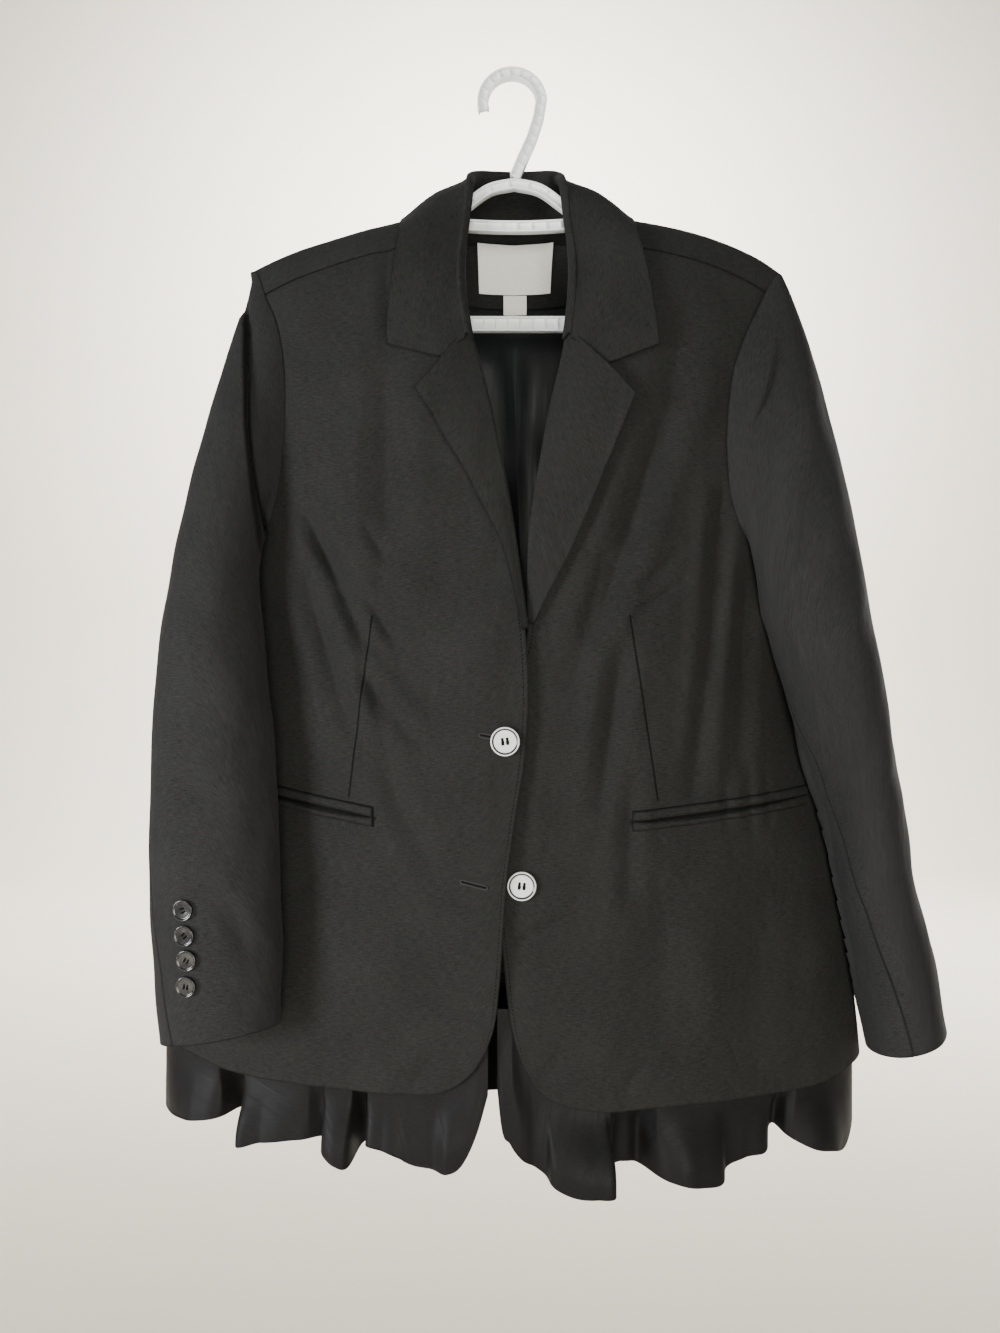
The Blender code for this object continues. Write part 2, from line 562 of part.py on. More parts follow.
def clear_body(armhole, points, around, room):
    """Move a sleeve's points off the body: forward ahead of the underarm, and sideways behind it."""
    x, y, drop = points[:, 0], points[:, 1], -points[:, 2]
    width = np.abs(x)
    half = two_sided(BODY, "drop", np.maximum(drop, UNDERARM), x)
    body_y = form(*place(x * half / (half + room), drop), -1.0)[:, 1] - room
    lower = np.argmin(np.abs(armhole["x"]))
    line = np.interp(width, np.abs(armhole["x"])[lower:], armhole["drop"][lower:]) - ARMHOLE_EASE
    ahead = np.mod(around, 1.0) <= 0.5
    edge = np.where(drop < UNDERARM, smooth(BACK_ARMHOLE["drop"], BACK_ARMHOLE["x"], drop), half) + room
    inside = (width < edge) & (y > body_y)
    nearer_side = (drop < UNDERARM) | (edge - width < y - body_y)
    sideways = inside & ~ahead & nearer_side
    below = np.where(ahead, drop > line, drop > UNDERARM)
    forward = (width < half + room) & (y > body_y) & ~sideways & below
    moved_x = np.where(sideways, np.sign(x) * edge, x)
    return np.stack([moved_x, np.where(forward, body_y, y), points[:, 2]], axis=-1)


def sleeve_surface(side, rows, armhole):
    """A whole sleeve: around 0 to 1 round it, and along 0 at the armhole to 1 at the cuff."""
    sign = -1.0 if side == "right" else 1.0
    front_hole = np.stack(place(armhole["x"], armhole["drop"]), axis=-1)
    back_hole = np.stack(place(sign * BACK_ARMHOLE["x"], BACK_ARMHOLE["drop"]), axis=-1)
    for hole in (front_hole, back_hole):
        hole[0] = (front_hole[0, 0], 0.0)
        hole[-1] = (sign * SIDE_TURN, 1.0)
    front_line, back_line = trace(front_hole), trace(back_hole)
    first, last = rows["drop"][0], rows["drop"][-1]

    def surface(around, along):
        around = np.mod(around, 1.0)
        ahead = around <= 0.5
        share = np.where(ahead, around, 1.0 - around) * 2.0
        turn, fall = np.where(ahead[:, None], front_line(share), back_line(share)).T
        face = np.where(ahead, -1.0, 1.0)
        outside = np.stack([np.full_like(around, sign), face, np.ones_like(around)], axis=-1)
        start = SHELL_WALL + LIE_GAP + SLEEVE_START * np.cos(2 * math.pi * around) ** 2
        start = start + UNDERARM_START * np.sin(math.pi * around) ** 8
        seam = lifted(lambda u, v: form(u, v, face), turn, fall, start, outside)
        angle = around * 2 * math.pi
        behind = np.clip(-np.sin(angle), 0.0, None)
        lean = UNDERARM_LEAN + (CAP_LEAN[side] - UNDERARM_LEAN) * (1 + np.cos(angle)) / 2
        out = np.stack([sign * (lean + 0.43 * np.abs(np.sin(angle)) + 0.4 * behind),
                        -0.45 * np.sin(angle), -0.55 - 0.35 * np.cos(angle) ** 2], axis=-1)
        out /= np.linalg.norm(out, axis=1, keepdims=True)
        ring = sleeve_ring(rows, side, np.full_like(around, first), around)
        up = ring - sleeve_ring(rows, side, np.full_like(around, first + SLEEVE_NEXT), around)
        up /= np.linalg.norm(up, axis=1, keepdims=True)
        part = np.clip(along / CAP_SHARE, 0.0, 1.0)[:, None]
        length = np.linalg.norm(ring - seam, axis=1, keepdims=True) * CAP_PULL
        rest = 1 - part
        cap = (seam * (1 + 2 * part) * rest ** 2 + out * length * part * rest ** 2
               + ring * (3 - 2 * part) * part ** 2 + up * length * rest * part ** 2)
        drop = first + np.clip((along - CAP_SHARE) / (1 - CAP_SHARE), 0.0, 1.0) * (last - first)
        tube = sleeve_ring(rows, side, drop, around)
        slant = CUFF_SLANT[side] * (np.abs(tube[:, 0]) - abs(rows["x"][-1]))
        tube[:, 2] -= slant * step((CUFF_SLANT_FROM, 1.0), along)
        room = SLEEVE_CLEAR[side] * step((0.0, 0.30), part[:, 0])
        return clear_body(armhole, np.where(part < 1.0, cap, tube), around, room)
    return surface


def seam_share(name, along):
    """A sleeve seam's share of the way round."""
    seam = {key: column[0] for key, column in SLEEVE_SEAMS[name].items()}
    bend = np.clip((1 - along) / seam["span"], 0.0, 1.0) ** seam["bend"]
    return seam["cuff"] + (seam["armhole"] - seam["cuff"]) * bend


def sleeve_panel(surface, start, end, turns):
    """The part of a sleeve between two seams, the second one some whole turns further on."""
    def panel(u, v):
        left = seam_share(start, v) + SEAM_MARGIN
        right = seam_share(end, v) + turns - SEAM_MARGIN
        return surface(left + (right - left) * u, v)
    return panel


SLEEVES = {}
for side, rows, armhole in (("right", RIGHT_SLEEVE, RIGHT_ARMHOLE), ("left", LEFT_SLEEVE, LEFT_ARMHOLE)):
    whole = sleeve_surface(side, rows, armhole)
    SLEEVES[side] = whole
    heart = (rows["x"].mean(), rows["y"].mean(), -0.55)
    top = sleeve_panel(whole, side + "_back", side + "_front", 0.0)
    under = sleeve_panel(whole, side + "_front", side + "_back", 1.0)
    shell(side + "_top_sleeve", top, 10, 14, SHELL_WALL, "suiting", heart, 1.0)
    shell(side + "_under_sleeve", under, 7, 14, SHELL_WALL, "suiting", heart, 1.0)


# Lapels
def lapel_surface(side, rows):
    """A lapel lying on its front, from the roll line to its edge."""
    roll = trace(np.stack([rows["roll_x"], rows["roll_drop"]], axis=-1))
    edge = trace(np.stack([rows["edge_x"], rows["edge_drop"]], axis=-1))

    def surface(u, v):
        spot = (1 - u[:, None]) * roll(v) + u[:, None] * edge(v)
        lift = SHELL_WALL + LAPEL_WALL + LAPEL_LIFT[0]
        lift = lift + (LAPEL_LIFT[1] - LAPEL_LIFT[0]) * u * (1 - 0.6 * v)
        return on_front(side, spot[:, 0], spot[:, 1], lift)
    return surface


shell("right_lapel", lapel_surface("right", RIGHT_LAPEL), 4, 10, LAPEL_WALL, "suiting", BEHIND)
shell("left_lapel", lapel_surface("left", LEFT_LAPEL), 4, 10, LAPEL_WALL, "suiting", BEHIND)


# Collar
def collar_lines():
    """The collar's neck seam, roll and outer edge, from the right gorge round the back to the left gorge."""
    neck, roll, edge = [], [], []
    count = len(COLLAR["face"])
    for sign, side in ((-1.0, "right"), (1.0, "left")):
        order = range(count - 1, -1, -1) if side == "right" else range(1, count)
        for row in order:
            value = {name: column[row] for name, column in COLLAR.items()}
            grown = value["roll_" + side] / max(value["roll_right"], 1e-6) if row else 1.0
            neck.append((sign * value["neck_x"] * grown, value["neck_y"], -value["neck_drop"]))
            roll.append((sign * value["roll_" + side], value["roll_y"], -value["roll_drop"]))
            turn, fall = place(np.array([sign * value["edge_" + side]]), np.array([value["edge_drop"]]))
            out = FRONTWARD if value["face"] < 0 else BACKWARD
            lift = np.array([SHELL_WALL + COLLAR_LIFT])
            surface = lambda u, v: form(u, v, value["face"])
            edge.append(lifted(surface, turn, np.maximum(fall, 0.01), lift, out)[0])
    return trace(neck, roll), trace(roll), trace(edge, roll)


def collar_surface():
    """The folded band: up the stand, over the roll and down the fall."""
    neck_line, roll_line, edge_line = collar_lines()
    lift = np.array([SHELL_WALL + COLLAR_LIFT])
    notches = [on_front(side, np.array([x]), np.array([drop]), lift)[0]
               for side, x, drop in zip(("right", "left"), NOTCH["x"], NOTCH["drop"])]
    knots = COLLAR_ROWS[COLLAR_STATIONS]

    def surface(u, v):
        neck, roll, edge = neck_line(u), roll_line(u), edge_line(u)
        v = np.interp(v, np.linspace(0.0, 1.0, len(COLLAR_ROWS)), COLLAR_ROWS)
        away = edge - neck
        away[:, 2] = 0.0
        away /= np.maximum(np.linalg.norm(away, axis=1, keepdims=True), 1e-9)
        sunk = np.array([0.0, 0.0, -COLLAR_SINK])
        inner = roll - away * COLLAR_ROLL + sunk
        outer = roll + away * COLLAR_ROLL * 0.4 + sunk
        middle = (outer + edge) / 2 + np.array([0.0, 0.0, COLLAR_ARCH[0]]) + away * COLLAR_ARCH[1]
        for notch, near in zip(notches, (1 - step((0.0, 0.10), u), step((0.90, 1.0), u))):
            middle = middle + near[:, None] * (notch - middle)
        stations = np.stack([neck, (neck + inner) / 2, inner, roll, outer, middle, edge], axis=1)
        slopes = np.gradient(stations, knots, axis=1)
        low = np.clip(np.searchsorted(knots, v, side="right") - 1, 0, len(knots) - 2)
        span = (knots[low + 1] - knots[low])[:, None]
        part = (v - knots[low])[:, None] / span
        rest = 1 - part
        pick = np.arange(len(u))
        start = stations[pick, low] * (1 + 2 * part) + slopes[pick, low] * span * part
        end = stations[pick, low + 1] * (3 - 2 * part) - slopes[pick, low + 1] * span * rest
        return start * rest ** 2 + end * part ** 2
    return surface


shell("collar", collar_surface(), 30, 8, COLLAR_WALL, "suiting", INSIDE, 1.0)


# Pocket welts
def welt_surface(side, ends, over):
    """One welt of a pocket, above or below the slit, lying on its front."""
    def surface(u, v):
        x = ends["x"][0] + (ends["x"][1] - ends["x"][0]) * u
        middle = ends["drop"][0] + (ends["drop"][1] - ends["drop"][0]) * u
        drop = middle + over * (WELT_SLIT / 2 + WELT_HEIGHT * v)
        return on_front(side, x, drop, np.full_like(u, SHELL_WALL + LIE_GAP + WELT_WALL))
    return surface


for side, ends in POCKETS.items():
    for name, over in (("upper", -1.0), ("lower", 1.0)):
        shell(f"{side}_{name}_welt", welt_surface(side, ends, over), 8, 2, WELT_WALL, "suiting", BEHIND)


# Flounces
def flounce_surface(rows, hem_drop, side):
    """A flounce sewn inside the hem of a side's front or of the back, falling in uneven folds."""
    rise = 1.0 if rows["x"][-1] > rows["x"][0] else -1.0
    knots = rows["x"] * rise
    out_way = BACKWARD if side == "back" else FRONTWARD

    def base(turn, fall):
        return form(turn, fall, 1.0) if side == "back" else lap(side, form(turn, fall, -1.0))

    def surface(u, v):
        x = rows["x"][0] + (rows["x"][-1] - rows["x"][0]) * u
        out, bottom = (smooth(knots, rows[name], x * rise) for name in ("out", "drop"))
        hem = hem_drop(x)
        top = np.minimum(hem, bottom) - FLOUNCE_TUCK
        drop = top + (bottom - top) * v
        turn, fall = place(x, hem)
        turn = np.clip(turn, -FLOUNCE_TURN, FLOUNCE_TURN)
        free = step((FLOUNCE_TUCK, FLOUNCE_TUCK + FLOUNCE_FREE), drop - top)
        inset = FLOUNCE_INSET + FLOUNCE_SIDE_INSET * np.sin(turn * math.pi / 2) ** 6
        spot = lifted(base, turn, fall, out * free - inset, out_way)
        spot[:, 2] = -drop
        return spot
    return surface


def hem_reader(edge, hem):
    """The drop of a front's bottom edge at any x, round its corner too."""
    x = np.concatenate([edge["x"][-3:-1], hem["x"]])
    drop = np.concatenate([edge["drop"][-3:-1], hem["drop"]])
    rise = 1.0 if x[-1] > x[0] else -1.0
    return lambda at: smooth(x * rise, drop, at * rise)


def back_hem(x):
    """The drop of the back's hem."""
    ends = np.array([RIGHT_HEM["drop"][-1], BACK_HEM_DROP, BACK_HEM_DROP, LEFT_HEM["drop"][-1]])
    return smooth(np.array([-0.284, -0.19, 0.19, 0.279]), ends, x)


shell("right_flounce", flounce_surface(RIGHT_FLOUNCE, hem_reader(RIGHT_EDGE, RIGHT_HEM), "right"), 30, 4,
      FLOUNCE_WALL, "satin", INSIDE)
shell("left_flounce", flounce_surface(LEFT_FLOUNCE, hem_reader(LEFT_EDGE, LEFT_HEM), "left"), 32, 4,
      FLOUNCE_WALL, "satin", INSIDE)
shell("back_flounce", flounce_surface(BACK_FLOUNCE, back_hem, "back"), 28, 4, FLOUNCE_WALL, "satin", INSIDE)


# Inside the neck
def inside_back(share, fall, depth):
    """Points that lie inside the back by a depth."""
    return lifted(on_back, share, fall, np.full_like(share, depth), -BACKWARD)


def facing_surface(u, v):
    """The back neck facing, on the back's own columns."""
    share = back_share(FACING_U[0] + (FACING_U[1] - FACING_U[0]) * u)
    top = FACING_FALL[0] + FACING_DIP * share ** 2
    return inside_back(share, top + (FACING_FALL[1] - top) * v, FACING_DEPTH)


def lining_surface(side):
    """Half of the back lining. The left half laps over the right one in a pleat."""
    sign = 1.0 if side == "left" else -1.0
    depth = LINING_GAP + LINING_WALL
    depth += LIE_GAP + LINING_WALL if side == "left" else 0.0

    def surface(u, v):
        share = back_share(0.5 + sign * LINING_U * u)
        share = share + (0.0 if side == "left" else PLEAT_LAP) * (1 - u) ** 6
        return inside_back(share, LINING_FALL[0] + (LINING_FALL[1] - LINING_FALL[0]) * v, depth)
    return surface


def patch_surface(sizes, depth):
    """A small flat label on the inside of the back."""
    def surface(u, v):
        fall = sizes["falls"][0] + (sizes["falls"][1] - sizes["falls"][0]) * v
        return inside_back(sizes["middle"] + (2 * u - 1) * sizes["reach"], fall, depth)
    return surface


FACING_DEPTH = FACING_GAP + LINING_WALL
LABEL_DEPTH = FACING_DEPTH + LABEL_GAP + LABEL_WALL
TAB_DEPTH = LABEL_DEPTH + LINING_WALL
shell("back_neck_facing", facing_surface, 8, 4, LINING_WALL, "suiting", BEHIND)
shell("right_lining", lining_surface("right"), 7, 7, LINING_WALL, "lining", BEHIND)
shell("left_lining", lining_surface("left"), 7, 7, LINING_WALL, "lining", BEHIND)
shell("neck_label", patch_surface(LABEL, LABEL_DEPTH), 4, 3, LABEL_WALL, "label", BEHIND)
shell("size_tab", patch_surface(TAB, TAB_DEPTH), 2, 2, LABEL_WALL, "label", BEHIND)


# Buttons
def button(name, spot, normal, scale, material):
    """A turned button, its back just off the cloth."""
    mesh = bpy.data.meshes.new(name)
    points = [(radius * scale, 0.0, height * scale) for radius, height in zip(*FRONT_BUTTON.values())]
    mesh.from_pydata(points, [(row, row + 1) for row in range(len(points) - 1)], [])
    made = bpy.data.objects.new(name, mesh)
    bpy.context.scene.collection.objects.link(made)
    keep(made, name, material)
    turned = made.modifiers.new("turned", "SCREW")
    turned.steps = turned.render_steps = BUTTON_SIDES
    turned.use_merge_vertices = True
    turned.merge_threshold = 0.00001
    normal = Vector(normal).normalized()
    made.rotation_euler = normal.to_track_quat("Z", "Y").to_euler()
    made.location = Vector(spot) + normal * BUTTON_GAP
    return made


def seat(owner, spot):
    """The nearest point of a built piece's face to a spot, and the face's normal."""
    built = bpy.data.objects[owner].evaluated_get(bpy.context.evaluated_depsgraph_get())
    _, nearest, normal, _ = built.closest_point_on_mesh(Vector(spot))
    return nearest, normal


ABOVE = 0.006
for name, side, x, drop in zip(("top_button", "lower_button"), ("right", "left"), *FRONT_BUTTONS.values()):
    spot = on_front(side, np.array([x]), np.array([drop]), np.array([ABOVE]))[0]
    button(name, *seat(side + "_front", spot), 1.0, "pale button")

low, high = RIGHT_SLEEVE["drop"][0], RIGHT_SLEEVE["drop"][-1]
for number, x, drop in zip(range(1, 5), *RIGHT_CUFF_BUTTONS.values()):
    level = np.array([CAP_SHARE + (1 - CAP_SHARE) * (drop - low) / (high - low)])
    centre, half = (smooth(RIGHT_SLEEVE["drop"], RIGHT_SLEEVE[key], np.array([drop]))
                    for key in ("x", "half_width"))
    rounds = {"right": np.arccos((centre - x) / half) / (2 * math.pi), "left": np.array([LEFT_CUFF_ROUND])}
    for side, out_way in (("right", FRONTWARD), ("left", BACKWARD)):
        spot = lifted(SLEEVES[side], rounds[side], level, np.array([ABOVE]), out_way)[0]
        name = f"{side}_cuff_button_{number}"
        button(name, *seat(side + "_top_sleeve", spot), CUFF_BUTTON_SCALE, "dark button")


# Hanger
def ribbon(name, path, half):
    """A flat moulded bar along a path of x and z, as an extruded outline."""
    path = np.asarray(path, float)
    along = np.gradient(path, axis=0)
    along /= np.linalg.norm(along, axis=1, keepdims=True)
    across = np.stack([-along[:, 1], along[:, 0]], axis=-1) * half
    outline = np.concatenate([path + across, (path - across)[::-1]])
    curve = bpy.data.curves.new(name, "CURVE")
    curve.dimensions = "2D"
    curve.fill_mode = "BOTH"
    curve.extrude = HANGER_DEPTH / 2
    spline = curve.splines.new("POLY")
    spline.points.add(len(outline) - 1)
    for point, (x, z) in zip(spline.points, outline):
        point.co = (x, z, 0.0, 1.0)
    spline.use_cyclic_u = True
    made = bpy.data.objects.new(name, curve)
    bpy.context.scene.collection.objects.link(made)
    made.rotation_euler = (math.pi / 2, 0.0, 0.0)
    return keep(made, name, "hanger")


def hook_path():
    """The hook's ring, over the top, then down its stem."""
    angles = np.radians(np.linspace(*HOOK_ARC, 20))
    ring = HOOK_CENTRE + HOOK_RADIUS * np.stack([np.cos(angles), np.sin(angles)], axis=-1)
    stem = np.stack([HOOK_STEM["x"], -HOOK_STEM["drop"]], axis=-1)
    return np.concatenate([ring, trace(stem)(np.linspace(0, 1, 7))])


arm = trace(np.stack([ARM["x"], -ARM["drop"]], axis=-1))(np.linspace(0, 1, 18))
ribbon("hanger_hook", hook_path(), HOOK_HALF)
ribbon("hanger_arms", np.concatenate([arm[::-1] * np.array([-1, 1]), arm[1:]]), ARM_HALF)
bar_x = np.linspace(-1, 1, 9)
smile = -NECK_BAR["drop"] - NECK_BAR["dip"] * (1 - bar_x ** 2)
ribbon("hanger_neck_bar", np.stack([bar_x * NECK_BAR["reach"], smile], axis=-1), NECK_BAR["half"])
ends_x = np.array([-1.0, 1.0]) * BOTTOM_BAR["reach"]
ends_z = np.full(2, -BOTTOM_BAR["drop"])
ribbon("hanger_bottom_bar", np.stack([ends_x, ends_z], axis=-1), BOTTOM_BAR["half"])
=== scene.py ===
# %% [markdown]
# # A notch-lapel blazer on its hanger
# A blazer is cut from flat panels and sewn over a body shape. Here every panel is a fine grid of points that
# is laid on one smooth form, so that neighbouring panels meet along the same seams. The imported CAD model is
# the fixed frame: it says where each piece sits, and each cloth piece here stands for one of its nodes.

import math

import bpy
import numpy as np
from mathutils import Matrix, Vector


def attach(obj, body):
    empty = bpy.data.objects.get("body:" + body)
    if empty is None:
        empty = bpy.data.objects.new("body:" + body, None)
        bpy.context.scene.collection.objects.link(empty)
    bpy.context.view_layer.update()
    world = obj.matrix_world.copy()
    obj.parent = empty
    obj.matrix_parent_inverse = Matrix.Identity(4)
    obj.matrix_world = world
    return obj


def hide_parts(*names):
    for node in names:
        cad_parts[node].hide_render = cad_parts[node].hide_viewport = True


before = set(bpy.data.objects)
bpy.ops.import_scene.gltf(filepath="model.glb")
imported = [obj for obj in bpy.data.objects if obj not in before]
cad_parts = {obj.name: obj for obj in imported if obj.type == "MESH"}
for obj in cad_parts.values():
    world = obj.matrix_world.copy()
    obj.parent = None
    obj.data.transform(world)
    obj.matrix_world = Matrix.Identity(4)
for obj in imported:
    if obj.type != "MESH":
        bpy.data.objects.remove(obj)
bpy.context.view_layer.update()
bpy.ops.object.select_all(action="DESELECT")
print("CAD nodes:", len(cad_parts))

# %% [markdown]
# ## Curves that everything is drawn with
# A pattern cutter draws a seam through a few measured points. `smooth` draws such a curve, `trace` draws it
# in two or three directions at once, and `patch` stretches a panel between four seams.


# %% Curve helpers
def table(names, *rows):
    """Rows of sizes under their column names."""
    return dict(zip(names.split(), np.array(rows, float).T))


def smooth(knots, values, at):
    """A smooth curve through values that are given at rising knots."""
    at = np.clip(at, knots[0], knots[-1])
    slopes = np.gradient(values, knots)
    low = np.clip(np.searchsorted(knots, at, side="right") - 1, 0, len(knots) - 2)
    span = knots[low + 1] - knots[low]
    part = (at - knots[low]) / span
    rest = 1.0 - part
    start = values[low] * (1.0 + 2.0 * part) * rest ** 2 + slopes[low] * span * part * rest ** 2
    end = values[low + 1] * (3.0 - 2.0 * part) * part ** 2 - slopes[low + 1] * span * rest * part ** 2
    return start + end


def step(limits, at):
    """An eased step from 0 at the first limit to 1 at the second."""
    part = np.clip((at - limits[0]) / (limits[1] - limits[0]), 0.0, 1.0)
    return part * part * (3.0 - 2.0 * part)


def trace(points, like=None):
    """A smooth line through points, by the share of its own length or of a like line's."""
    points = np.asarray(points, float)
    ruler = points if like is None else np.asarray(like, float)
    reach = np.cumsum(np.linalg.norm(np.diff(ruler, axis=0), axis=1))
    knots = np.concatenate(([0.0], reach)) / reach[-1]
    return lambda share: np.stack([smooth(knots, column, share) for column in points.T], axis=-1)


def chain(first, second, share):
    """Two lines end to end, the first one taking a share of the whole."""
    def joined(at):
        early = first(np.clip(at / share, 0.0, 1.0))
        late = second(np.clip((at - share) / (1.0 - share), 0.0, 1.0))
        return np.where((at < share)[:, None], early, late)
    return joined


def patch(bottom, top, inner, outer):
    """A surface stretched between four edges, in turn and fall."""
    ends = np.array([0.0, 1.0])
    (low_in, low_out), (high_in, high_out) = bottom(ends), top(ends)

    def stretched(u, v):
        across, up = u[:, None], v[:, None]
        rows = (1 - up) * bottom(u) + up * top(u)
        columns = (1 - across) * inner(v) + across * outer(v)
        corners = ((1 - up) * ((1 - across) * low_in + across * low_out)
                   + up * ((1 - across) * high_in + across * high_out))
        return rows + columns - corners
    return stretched


# %% [markdown]
# ## The body's form
# A hanging blazer keeps a flattened body shape: narrow at the shoulder's ridge, fullest at the chest. A turn
# of -1 or 1 is a side seam and 0 the centre line; a fall of 0 is the ridge and 1 is level with the underarm.

# %% Sections of the body and the shoulders' ridge
UNDERARM = 0.400
BODY = table("drop right left front back side full",
    (0.4, 0.225, 0.226, 0.066, 0.05, 0.01, 3.0), (0.48, 0.228, 0.23, 0.07, 0.05, 0.016, 2.6),
    (0.54, 0.234, 0.239, 0.071, 0.05, 0.02, 2.3), (0.6, 0.246, 0.2545, 0.07, 0.051, 0.022, 2.1),
    (0.72, 0.276, 0.2795, 0.068, 0.052, 0.024, 2.0), (0.81, 0.302, 0.2895, 0.065, 0.053, 0.024, 2.0),
    (0.89, 0.306, 0.293, 0.065, 0.054, 0.024, 2.0))
FRONT_POWER, BACK_FULL, BACK_POWER = 0.75, 4.0, 0.60
FALL_STEP = 0.39
SIDE_TURN, SEAM_FADE = 0.998, 60
RIDGE = table("x right left behind",
    (0.0, 0.108, 0.108, 0.046), (0.03, 0.107, 0.107, 0.04), (0.055, 0.107, 0.107, 0.02),
    (0.075, 0.1115, 0.111, 0.006), (0.09, 0.119, 0.1175, 0.0), (0.12, 0.1263, 0.123, 0.0),
    (0.15, 0.135, 0.13, 0.0), (0.18, 0.1445, 0.1405, 0.0), (0.2, 0.153, 0.15, 0.0), (0.215, 0.1605, 0.16, 0.0),
    (0.235, 0.173, 0.176, 0.0))

# %% [markdown]
# ## Folds and creases
# Cloth that hangs from a shoulder and is held by one button is pulled into drags: long soft valleys that run
# from the armhole towards the button, with small sharp pinches at the dart. Each row below is one crease,
# from one end to the other, with its half width and its depth. A valley squeezes a low lip up on both sides.

# %% Creases of the fronts
FRONT_CREASES = table("x drop to_x to_drop half depth",
    (-0.19, 0.345, -0.06, 0.52, 0.022, 0.003), (-0.165, 0.358, -0.132, 0.431, 0.0065, 0.0046),
    (-0.134, 0.425, -0.114, 0.468, 0.006, 0.0036), (-0.165, 0.41, -0.126, 0.532, 0.008, 0.0052),
    (-0.12, 0.484, -0.08, 0.536, 0.0065, 0.0034), (-0.101, 0.15, -0.099, 0.222, 0.006, 0.003),
    (-0.112, 0.54, -0.062, 0.64, 0.0085, 0.0028), (-0.163, 0.362, -0.12, 0.43, 0.0065, 0.003),
    (-0.098, 0.21, -0.101, 0.44, 0.013, 0.0034), (-0.116, 0.372, -0.1, 0.4, 0.005, 0.0018),
    (-0.118, 0.425, -0.086, 0.47, 0.005, 0.0026), (-0.112, 0.495, -0.09, 0.57, 0.0065, 0.0026),
    (-0.13, 0.265, -0.142, 0.31, 0.01, 0.0012), (-0.068, 0.735, -0.022, 0.746, 0.006, 0.0016),
    (-0.086, 0.81, -0.06, 0.78, 0.007, 0.0016), (-0.06, 0.655, -0.03, 0.662, 0.006, 0.0012),
    (-0.17, 0.64, -0.12, 0.8, 0.026, 0.0026), (0.135, 0.195, 0.112, 0.315, 0.013, 0.0036),
    (0.113, 0.29, 0.086, 0.385, 0.011, 0.005), (0.089, 0.372, 0.06, 0.46, 0.0095, 0.005),
    (0.08, 0.47, 0.066, 0.585, 0.009, 0.0044), (0.068, 0.39, 0.045, 0.495, 0.0085, 0.0026),
    (0.161, 0.345, 0.15, 0.485, 0.0075, 0.0046), (0.15, 0.47, 0.137, 0.58, 0.007, 0.0028),
    (0.182, 0.4, 0.176, 0.56, 0.008, 0.003), (0.089, 0.444, 0.131, 0.415, 0.004, 0.0018),
    (0.096, 0.42, 0.13, 0.392, 0.0045, 0.0014), (0.088, 0.55, 0.086, 0.66, 0.007, 0.0024),
    (-0.002, 0.693, 0.044, 0.671, 0.0045, 0.0018), (0.084, 0.803, 0.101, 0.785, 0.0045, 0.0016),
    (0.101, 0.786, 0.132, 0.782, 0.0045, 0.0014), (0.114, 0.65, 0.112, 0.765, 0.016, 0.0026),
    (0.02, 0.8, 0.036, 0.778, 0.006, 0.0014), (0.165, 0.56, 0.164, 0.612, 0.004, 0.001),
    (0.184, 0.56, 0.185, 0.612, 0.004, 0.001), (0.2, 0.565, 0.203, 0.61, 0.004, 0.001),
    (0.2, 0.64, 0.19, 0.81, 0.024, 0.0024))
CREASE_FALL, CREASE_BEND, CREASE_ENDS, CREASE_TAPER = 1.15, 1.5, (0.12, 0.76), 0.8
LIP_HEIGHT, LIP_AT, LIP_HALF = 0.30, 2.0, 0.8


def creases(rows, x, drop):
    """How far the creases of a table press the cloth in."""
    depth = np.zeros_like(x)
    for x0, drop0, x1, drop1, half, deep in zip(*rows.values()):
        way = np.array([x1 - x0, drop1 - drop0])
        share = ((x - x0) * way[0] + (drop - drop0) * way[1]) / (way @ way)
        held = np.clip(share, 0.0, 1.0)
        off = np.hypot(x - x0 - held * way[0], drop - drop0 - held * way[1]) / half
        profile = np.exp(-CREASE_FALL * off ** CREASE_BEND) - LIP_HEIGHT * np.exp(-((off - LIP_AT) / LIP_HALF) ** 2)
        ends = np.sin(np.pi * np.clip(CREASE_ENDS[0] + CREASE_ENDS[1] * share, 0, 1)) ** CREASE_TAPER
        depth += deep * profile * ends
    return depth


RUMPLES = np.random.default_rng(7).uniform(-1, 1, (14, 4))
RUMPLE_ACROSS, RUMPLE_DOWN, RUMPLE_START, RUMPLE_SIZE = 150, 110, 9, 0.00022
CREASE_GAIN = 1.4


def rumple(x, drop):
    """The slight unevenness that any hanging cloth has."""
    total = np.zeros_like(x)
    for across, down, start, size in RUMPLES:
        total += size * np.sin(RUMPLE_ACROSS * across * x + RUMPLE_DOWN * down * drop + RUMPLE_START * start)
    return total * RUMPLE_SIZE


# %% Points of the form
def two_sided(rows, knots, at, x):
    """A column that differs from the right side to the left one."""
    return np.where(x < 0.0, smooth(rows[knots], rows["right"], at), smooth(rows[knots], rows["left"], at))


def ridge_drop(x):
    """The drop of the shoulders' ridge."""
    return two_sided(RIDGE, "x", np.abs(x), x)


